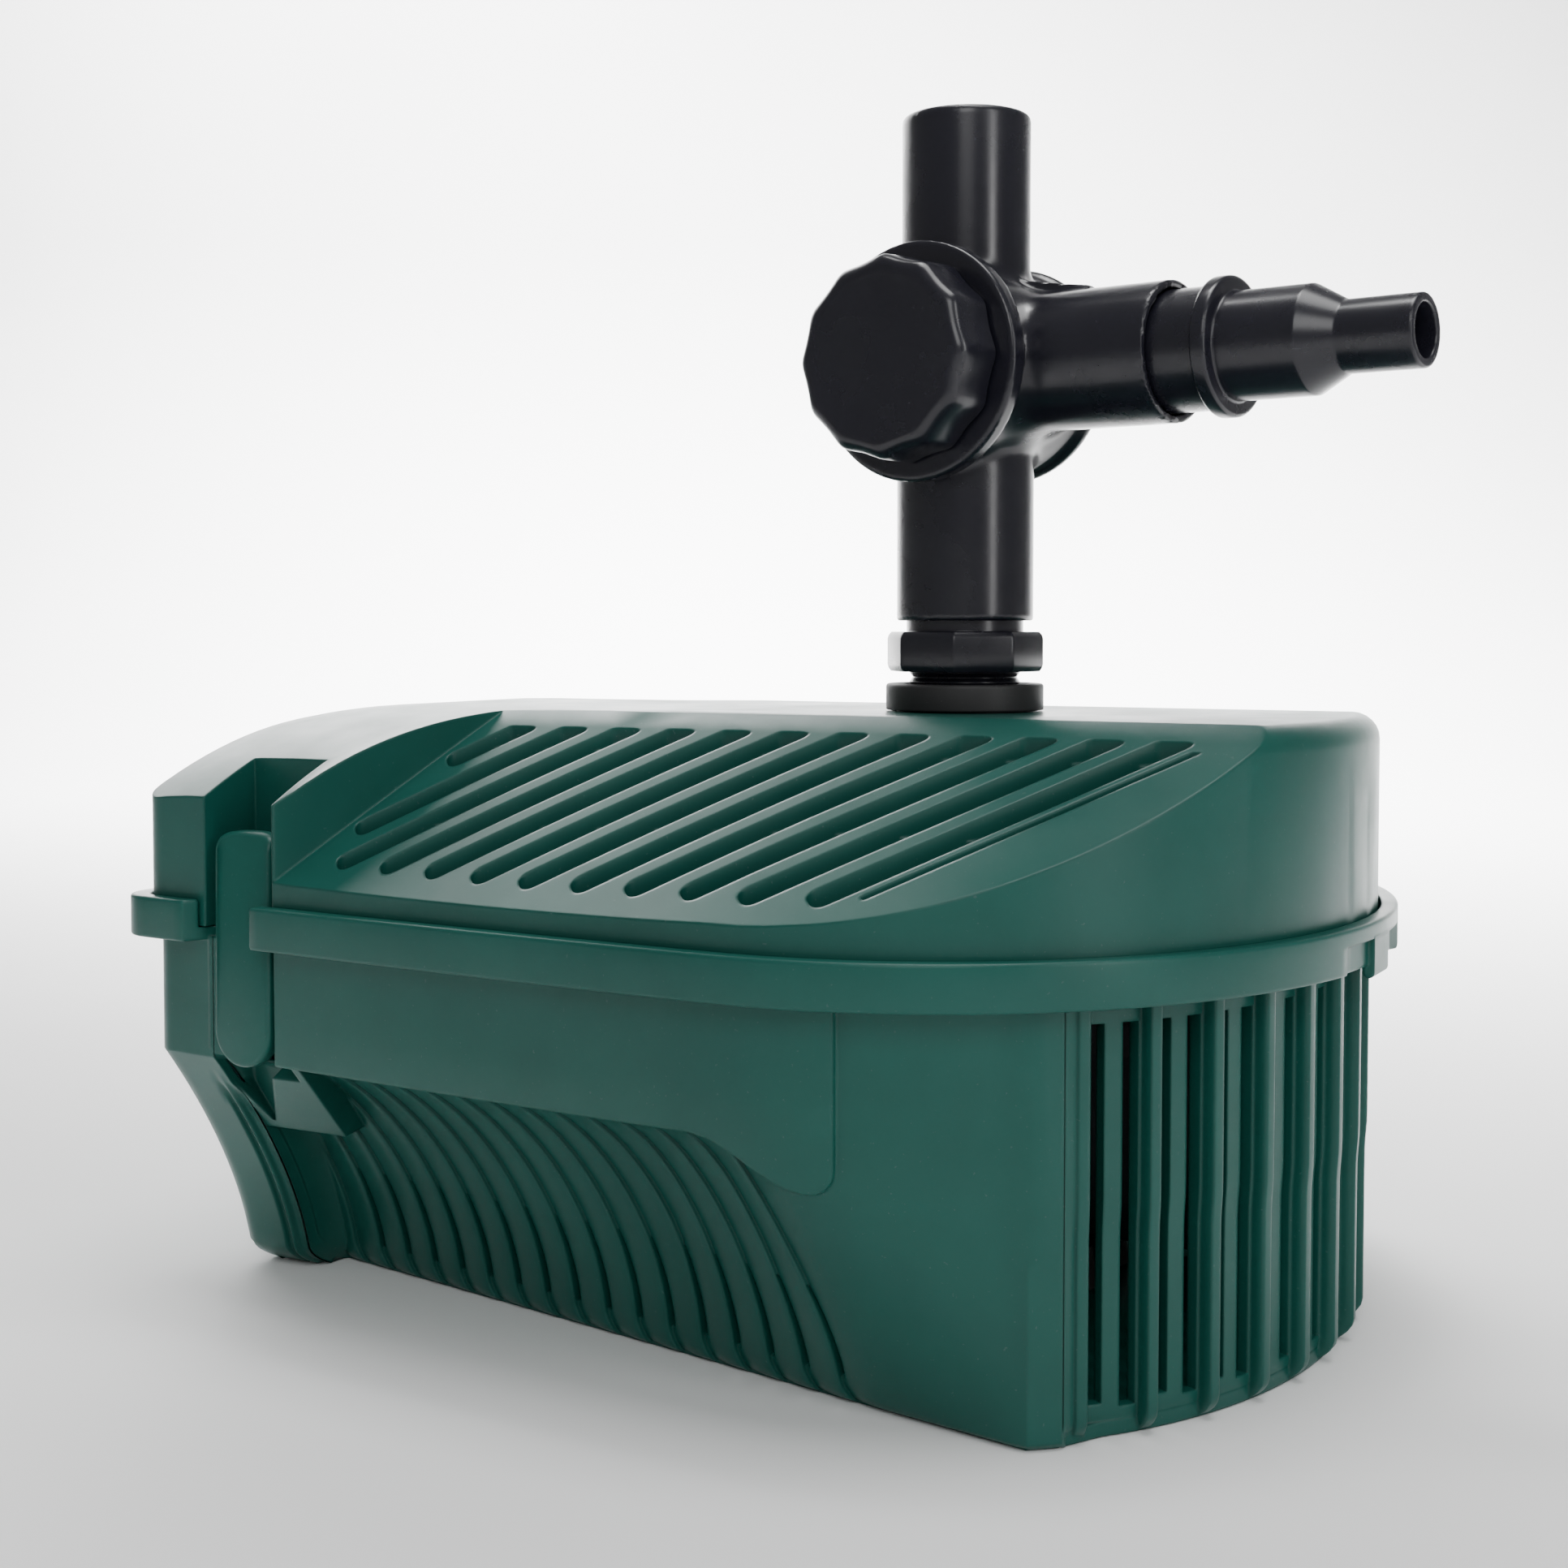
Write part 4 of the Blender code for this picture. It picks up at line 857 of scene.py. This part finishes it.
def knob(mat):
    """The twelve-sided grip with a softened edge round a plain, slightly dished face."""
    def section(size, height, shape=1.0):
        points = []
        for k in range(240):
            angle = math.tau * k / 240
            radius = size * (shape * knob_radius(angle) + (1.0 - shape) * 0.97)
            points.append((radius * math.cos(angle), radius * math.sin(angle), height))
        return points
    rows = [(12.0, 17.9), (18.4, 17.9), (18.8, 18.3), (18.8, 20.0), (18.7, 24.0)]
    for i in range(1, 9):
        turn = math.pi / 2 * i / 8
        rows.append((18.6 - 2.6 * (1 - math.cos(turn)), 26.0 + 2.5 * math.sin(turn), 1.0 - 0.05 * i))
    rows += [(15.2, 28.45, 0.4), (14.0, 28.3, 0.2), (8.0, 28.15, 0.0), (1.0, 28.1, 0.0)]
    grip = loft("knob", [section(*row) for row in rows])
    piece("flow_grip", grip, mat, "knob", ["flow_knob"], 40.0, tee_place() @ quarter("X"))


def hose_tail(mat):
    """The stepped tail with its collar, its seal groove and its bore."""
    profile = [(4.6, TAIL_END, 0.4), (6.25, TAIL_END, 0.6), (6.25, 77.0, 1.2), (9.5, 71.2, 1.2),
               (9.5, 56.4, 0.5), (12.3, 56.4, 0.8), (12.3, 53.4, 0.8), (10.85, 53.4, 0.3),
               (10.85, 39.8, 0.2), (9.6, 39.8, 0.1), (9.6, 37.8, 0.1), (10.85, 37.8, 0.1),
               (10.85, 31.0, 0.3), (8.0, 31.0, 0), (8.0, 68.0, 0.5), (4.6, 75.0, 0.5)]
    piece("stepped_tail", lathe("tail", rounded(profile, 0.3)), mat, "hose_tail",
          ["hose_tail"], 40.0, tee_place() @ quarter("Y"))


def capped(radial, axial, radius, low, high, edge):
    """Distance to a round bar with a rounded edge, from the distance off its axis and along it."""
    middle, half = (low + high) / 2, (high - low) / 2
    a = radial - (radius - edge)
    b = np.abs(axial - middle) - (half - edge)
    return np.minimum(np.maximum(a, b), 0.0) + np.hypot(np.maximum(a, 0.0), np.maximum(b, 0.0)) - edge


def blend_union(a, b, size):
    h = np.clip(0.5 + 0.5 * (b - a) / size, 0.0, 1.0)
    return b + (a - b) * h - size * h * (1.0 - h)


def tee_distance(p):
    """Signed distance to the tee: x along its branch, y away from the knob, z up from its centre."""
    x, y, z = p[..., 0], p[..., 1], p[..., 2]
    upright, along, through = np.hypot(x, y), np.hypot(y, z), np.hypot(x, z)
    upper = capped(upright, z, 12.1, -5.0, TOP_Z - TEE_Z, 1.2)
    lower = capped(upright, z, 12.95, 129.2 - TEE_Z, 0.0, 0.6)
    barrel = capped(through, y, 19.3, -16.0, 16.0, 0.5)
    branch = capped(along, x, 12.6, 0.0, SOCKET_END, 0.5)
    rib = np.maximum(np.abs(y) - 0.8, np.abs(x - 20.0) - 7.0)
    rib = np.maximum(rib, np.abs(z - 9.0 - (27.0 - x) * 0.16) - 4.2)
    body = blend_union(blend_union(upper, lower, 0.8), barrel, 2.2)
    body = blend_union(body, branch, 4.5)
    body = blend_union(body, rib, 1.6)
    body = blend_union(body, capped(through, y, 22.0, -17.5, -13.6, 0.7), 1.0)
    body = blend_union(body, capped(through, y, 20.5, 15.4, 17.6, 0.8), 2.5)
    bores = np.minimum.reduce([
        capped(through, y, 15.0, -40.0, 12.0, 0.2),
        capped(upright, z, 11.45, -70.0, 147.0 - TEE_Z, 0.2),
        capped(upright, z, 9.6, -40.0, 80.0, 0.2),
        capped(along, x, 9.3, 8.0, 60.0, 0.2),
        capped(along, x, 11.3, 30.0, 70.0, 0.2)])
    return np.maximum(body, -bores)


def surface_net(distance, low, high, step):
    """A closed quad mesh of the zero surface of a distance function, with its points settled on it."""
    counts = [int((b - a) / step) + 2 for a, b in zip(low, high)]
    axes = [low[i] + step * np.arange(counts[i]) for i in range(3)]
    field = distance(np.stack(np.meshgrid(*axes, indexing="ij"), -1))
    inside = field < 0
    cells = np.zeros([c - 1 for c in counts], dtype=np.int8)
    for i, j, k in np.ndindex(2, 2, 2):
        cells += inside[i:counts[0] - 1 + i, j:counts[1] - 1 + j, k:counts[2] - 1 + k]
    mixed = (cells > 0) & (cells < 8)
    index = -np.ones(cells.shape, dtype=np.int64)
    index[mixed] = np.arange(mixed.sum())
    points = np.stack(np.nonzero(mixed), 1) * step + np.array(low) + step / 2
    nudge = 0.05
    for _ in range(6):
        value = distance(points)
        slope = np.stack([(distance(points + nudge * e) - distance(points - nudge * e)) / (2 * nudge)
                          for e in np.eye(3)], 1)
        size = np.maximum((slope ** 2).sum(1), 0.2)
        move = slope * (value / size)[:, None]
        points = points - np.clip(move, -step, step)
    faces = []
    for axis in range(3):
        first = [slice(None)] * 3
        second = [slice(None)] * 3
        first[axis], second[axis] = slice(0, -1), slice(1, None)
        change = inside[tuple(first)] != inside[tuple(second)]
        i, j, k = np.nonzero(change)
        b, c = [n for n in range(3) if n != axis]
        at = np.stack([i, j, k], 1)
        keep = (at[:, b] > 0) & (at[:, c] > 0)
        at = at[keep]
        corners = []
        for db, dc in ((1, 1), (0, 1), (0, 0), (1, 0)):
            cell = at.copy()
            cell[:, b] -= db
            cell[:, c] -= dc
            corners.append(index[tuple(cell.T)])
        faces += list(map(tuple, np.stack(corners, 1).tolist()))
    return points, faces


def tee(mat):
    low = (-24.0, -19.0, 128.2 - TEE_Z)
    high = (47.0, 20.0, TOP_Z - TEE_Z + 1.2)
    points, faces = surface_net(tee_distance, low, high, 0.62)
    piece("tee_shell", make_mesh("tee", points, faces), mat, "tee", ["tee_body"], 50.0,
          tee_place())


# ------------------ materials

def node_tree(name):
    mat = bpy.data.materials.new(name)
    mat.use_nodes = True
    tree = mat.node_tree
    shader = tree.nodes["Principled BSDF"]
    place = tree.nodes.new("ShaderNodeTexCoord")
    return mat, tree, shader, place.outputs["Object"]


def noise(tree, where, scale, detail=3.0, roughness=0.5):
    node = tree.nodes.new("ShaderNodeTexNoise")
    node.inputs["Scale"].default_value = scale
    node.inputs["Detail"].default_value = detail
    node.inputs["Roughness"].default_value = roughness
    tree.links.new(where, node.inputs["Vector"])
    return node.outputs["Fac"]


def ramp(tree, value, stops):
    node = tree.nodes.new("ShaderNodeValToRGB")
    elements = node.color_ramp.elements
    while len(elements) < len(stops):
        elements.new(0.5)
    for element, (position, colour) in zip(elements, stops):
        element.position = position
        element.color = (*colour, 1.0)
    tree.links.new(value, node.inputs["Fac"])
    return node.outputs["Color"]


def spread(tree, value, low, high):
    """A noise value spread over a range."""
    node = tree.nodes.new("ShaderNodeMapRange")
    for socket, number in (("From Min", 0.3), ("From Max", 0.7), ("To Min", low), ("To Max", high)):
        node.inputs[socket].default_value = number
    tree.links.new(value, node.inputs["Value"])
    return node.outputs["Result"]


def mix(tree, amount, first, second):
    node = tree.nodes.new("ShaderNodeMix")
    node.data_type = "RGBA"
    for socket, value in ((node.inputs["Factor"], amount), (node.inputs[6], first), (node.inputs[7], second)):
        if isinstance(value, bpy.types.NodeSocket):
            tree.links.new(value, socket)
        elif isinstance(value, tuple):
            socket.default_value = (*value, 1.0)
        else:
            socket.default_value = value
    return node.outputs[2]


def bump(tree, value, strength, distance, normal=None):
    node = tree.nodes.new("ShaderNodeBump")
    node.inputs["Strength"].default_value = strength
    node.inputs["Distance"].default_value = distance
    tree.links.new(value, node.inputs["Height"])
    if normal is not None:
        tree.links.new(normal, node.inputs["Normal"])
    return node.outputs["Normal"]


def soft_edges(tree, radius):
    node = tree.nodes.new("ShaderNodeBevel")
    node.samples = 6
    node.inputs["Radius"].default_value = radius
    return node.outputs["Normal"]


def wire(tree, shader, **sources):
    for socket, source in sources.items():
        tree.links.new(source, shader.inputs[socket.replace("_", " ")])


def scaled(colour, factor):
    return tuple(c * factor for c in colour)


def plastic(name, colour, deep, rough, edge, dust=0.25, texture=0.06, specular=0.5, waviness=0.05):
    """Moulded plastic: slow colour drift, faint flow marks, specks of dust and a fine moulded skin."""
    mat, tree, shader, where = node_tree(name)
    drift = ramp(tree, noise(tree, where, 14.0, 4.0), [(0.32, deep), (0.68, colour)])
    cloud = spread(tree, noise(tree, where, 55.0, 5.0, 0.6), 0.0, 0.18)
    pale = tuple(min(1.0, c * 1.35 + 0.006) for c in colour)
    drift = mix(tree, cloud, drift, pale)
    specks = noise(tree, where, 1500.0, 1.0)
    specks = ramp(tree, specks, [(0.735, (0.0, 0.0, 0.0)), (0.78, (dust, dust, dust))])
    dusted = tuple(c * 0.5 + 0.16 for c in colour)
    patches = noise(tree, where, 38.0, 5.0, 0.65)
    normal = bump(tree, noise(tree, where, 90.0, 2.0), waviness, 0.0005, soft_edges(tree, edge))
    wire(tree, shader, Base_Color=mix(tree, specks, drift, dusted),
         Roughness=spread(tree, patches, rough - 0.05, rough + 0.07),
         Normal=bump(tree, noise(tree, where, 2600.0, 2.0), texture, 0.00006, normal))
    shader.inputs["Specular IOR Level"].default_value = specular
    return mat


def rubber(name, colour):
    mat, tree, shader, where = node_tree(name)
    drift = ramp(tree, noise(tree, where, 120.0, 4.0), [(0.3, scaled(colour, 0.7)), (0.7, colour)])
    wire(tree, shader, Base_Color=drift,
         Roughness=spread(tree, noise(tree, where, 400.0, 3.0), 0.6, 0.8),
         Normal=bump(tree, noise(tree, where, 3000.0, 2.0), 0.2, 0.0001))
    return mat


def foam(name, colour, cell):
    """Open-cell foam: painted shade darkens the pores between the strands, which keep the foam's own colour.
    """
    mat, tree, shader, where = node_tree(name)
    cells = tree.nodes.new("ShaderNodeTexVoronoi")
    cells.feature = "DISTANCE_TO_EDGE"
    cells.inputs["Scale"].default_value = cell
    tree.links.new(where, cells.inputs["Vector"])
    pores = cells.outputs["Distance"]
    # The colour ramp paints shade into the pores, darkest at their middles; the same field also drives the
    # bump.
    wire(tree, shader, Base_Color=ramp(tree, pores, [(0.02, colour), (0.16, scaled(colour, 0.12))]),
         Roughness=spread(tree, noise(tree, where, 200.0), 0.85, 1.0),
         Normal=bump(tree, pores, 1.0, -0.0012))
    return mat


def metal(name, colour, rough, stretch):
    """Metal with fine lines along its grain and slightly uneven polish."""
    mat, tree, shader, where = node_tree(name)
    grain = tree.nodes.new("ShaderNodeMapping")
    grain.inputs["Scale"].default_value = stretch
    tree.links.new(where, grain.inputs["Vector"])
    lines = noise(tree, grain.outputs["Vector"], 300.0, 3.0)
    shader.inputs["Metallic"].default_value = 1.0
    wire(tree, shader, Base_Color=ramp(tree, lines, [(0.3, scaled(colour, 0.75)), (0.7, colour)]),
         Roughness=spread(tree, noise(tree, where, 90.0), rough - 0.08, rough + 0.1),
         Normal=bump(tree, lines, 0.15, 0.0002, soft_edges(tree, 0.0003)))
    return mat


def winding(name, colour, turns, rough):
    """Closely laid wire or stacked sheets: bands across X with painted shade in the crease between them."""
    mat, tree, shader, where = node_tree(name)
    bands = tree.nodes.new("ShaderNodeTexWave")
    bands.wave_type = "BANDS"
    bands.bands_direction = "X"
    bands.inputs["Scale"].default_value = turns
    bands.inputs["Distortion"].default_value = 0.3
    tree.links.new(where, bands.inputs["Vector"])
    lines = bands.outputs["Fac"]
    shader.inputs["Metallic"].default_value = 1.0
    # The colour ramp paints shade into the line between bands; the same bands also drive the bump.
    wire(tree, shader, Base_Color=ramp(tree, lines, [(0.1, scaled(colour, 0.2)), (0.5, colour)]),
         Roughness=spread(tree, noise(tree, where, 150.0), rough - 0.06, rough + 0.1),
         Normal=bump(tree, lines, 0.6, 0.0003))
    return mat


def stone(name, colour, rough):
    """Ground ferrite, alumina or cast resin: fine grains over a slow drift."""
    mat, tree, shader, where = node_tree(name)
    grains = noise(tree, where, 1800.0, 3.0)
    grains = ramp(tree, grains, [(0.3, scaled(colour, 0.8)), (0.75, colour)])
    slow = spread(tree, noise(tree, where, 60.0, 3.0), 0.0, 0.25)
    wire(tree, shader, Base_Color=mix(tree, slow, grains, scaled(colour, 0.7)),
         Roughness=spread(tree, noise(tree, where, 140.0), rough - 0.05, rough + 0.08),
         Normal=bump(tree, noise(tree, where, 1500.0, 2.0), 0.12, 0.0001))
    return mat


def make_materials():
    mats = {
        "green_plastic": plastic("green_plastic_look", (0.005, 0.076, 0.060), (0.003, 0.062, 0.049),
                                 0.34, 0.0007, dust=0.15, specular=0.32),
        "black_plastic": plastic("black_plastic_look", (0.009, 0.009, 0.015), (0.006, 0.006, 0.010),
                                 0.25, 0.0004, dust=0.04, texture=0.03, waviness=0.004),
        "matte_black": plastic("matte_black_look", (0.016, 0.016, 0.017), (0.011, 0.011, 0.012),
                               0.55, 0.0004, dust=0.10, texture=0.15),
        "motor_plastic": plastic("motor_plastic_look", (0.030, 0.030, 0.035), (0.022, 0.022, 0.026),
                                 0.45, 0.0004),
        "impeller_plastic": plastic("impeller_plastic_look", (0.55, 0.56, 0.56), (0.48, 0.49, 0.49),
                                    0.40, 0.0003)}
    for slot, make, *values in (
            ("seal_rubber", rubber, (0.022, 0.022, 0.022)),
            ("foam_coarse", foam, (0.025, 0.065, 0.20), 450.0),
            ("foam_fine", foam, (0.045, 0.045, 0.045), 800.0),
            ("stainless_steel", metal, (0.62, 0.62, 0.63), 0.30, (1.0, 6.0, 6.0)),
            ("magnet_ferrite", stone, (0.06, 0.06, 0.065), 0.50),
            ("ceramic_shaft", stone, (0.85, 0.85, 0.82), 0.22),
            ("lamination_steel", winding, (0.35, 0.35, 0.36), 320.0, 0.45),
            ("copper_wire", winding, (0.60, 0.22, 0.08), 260.0, 0.32),
            ("potting_resin", stone, (0.03, 0.03, 0.03), 0.28)):
        mats[slot] = make(slot + "_look", *values)
    return mats


def dress_cad(mats):
    """Give every CAD node that still shows the material of its slot."""
    slots = {row["node"]: row["material_slot"] for row in frame["record"]["subparts"]}
    for name, obj in frame["nodes"].items():
        for place in obj.material_slots:
            place.material = mats[slots[name]]


# ------------------ stage

def stage():
    """A pale floor that curves up behind, soft light from both sides and above, and the camera."""
    size, bend, height = 3.0, 0.5, 2.2
    profile = [(-size, 0.0), (1.2, 0.0)]
    for i in range(1, 17):
        angle = math.pi / 2 * i / 16
        profile.append((1.2 + bend * math.sin(angle), bend - bend * math.cos(angle)))
    profile.append((1.2 + bend, height))
    turn = Matrix.Rotation(math.radians(28.5), 3, "Z")
    points, faces = [], []
    for v, z in profile:
        for u in (-size, size):
            points.append(tuple(turn @ Vector((u, v, z - 0.0002))))
    for i in range(len(profile) - 1):
        faces.append((2 * i, 2 * i + 1, 2 * i + 3, 2 * i + 2))
    mesh = bpy.data.meshes.new("floor")
    mesh.from_pydata(points, [], faces)
    mesh.shade_smooth()
    floor = link("floor", mesh)
    mat, tree, shader, where = node_tree("floor_look")
    tone = ramp(tree, noise(tree, where, 4.0, 3.0), [(0.3, (0.90, 0.90, 0.90)), (0.7, (0.93, 0.93, 0.93))])
    tree.links.new(tone, shader.inputs["Base Color"])
    shader.inputs["Roughness"].default_value = 0.9
    shader.inputs["Specular IOR Level"].default_value = 0.1
    mesh.materials.append(mat)

    world = bpy.data.worlds.new("studio")
    bpy.context.scene.world = world
    world.use_nodes = True
    sky = world.node_tree.nodes["Background"].inputs
    sky["Color"].default_value = (1.0, 1.0, 1.0, 1.0)
    sky["Strength"].default_value = 0.27

    area("key", (0.45, -1.0, 0.80), (0.0, 0.0, 0.08), 0.5, 0.6, 4.6)
    area("side", (1.0, -0.35, 0.45), (0.0, 0.0, 0.10), 0.15, 0.8, 3.4)
    area("left_back", (-1.0, 0.55, 0.80), (0.0, 0.0, 0.1), 0.8, 0.7, 7.0)
    area("overhead", (0.15, 0.0, 1.4), (0.0, 0.0, 0.1), 0.7, 0.7, 11.0)
    area("backdrop", (-0.75, 0.55, 1.5), (-0.55, 1.3, 0.1), 1.6, 0.8, 85.0, 80.0)

    camera = bpy.data.cameras.new("camera")
    camera.sensor_width = 36.0
    camera.lens = 36.0 * 2682.67 / 1932.0
    camera.shift_y = -0.04
    camera.clip_start = 0.01
    camera.clip_end = 20.0
    eye = link("camera", camera)
    eye.location = (0.168214, -0.38156, 0.128557)
    eye.rotation_euler = (math.radians(90.0 - 2.558), 0.0, math.radians(28.534))
    bpy.context.scene.camera = eye


def area(name, place, target, width, height, power, spread=180.0):
    light = bpy.data.lights.new(name, "AREA")
    light.shape = "RECTANGLE"
    light.size = width
    light.size_y = height
    light.energy = power
    light.spread = math.radians(spread)
    lamp = link(name, light)
    lamp.location = place
    lamp.rotation_euler = (Vector(target) - Vector(place)).to_track_quat("-Z", "Y").to_euler()


# ------------------ build

def main():
    mats = make_materials()
    dress_cad(mats)
    base_casing(mats["green_plastic"])
    lid(mats["green_plastic"])
    latch("near", 1, mats["green_plastic"], "latch_near")
    latch("far", -1, mats["green_plastic"], "latch_far")
    outlet(mats)
    tee(mats["black_plastic"])
    knob(mats["black_plastic"])
    hose_tail(mats["black_plastic"])
    stage()


main()
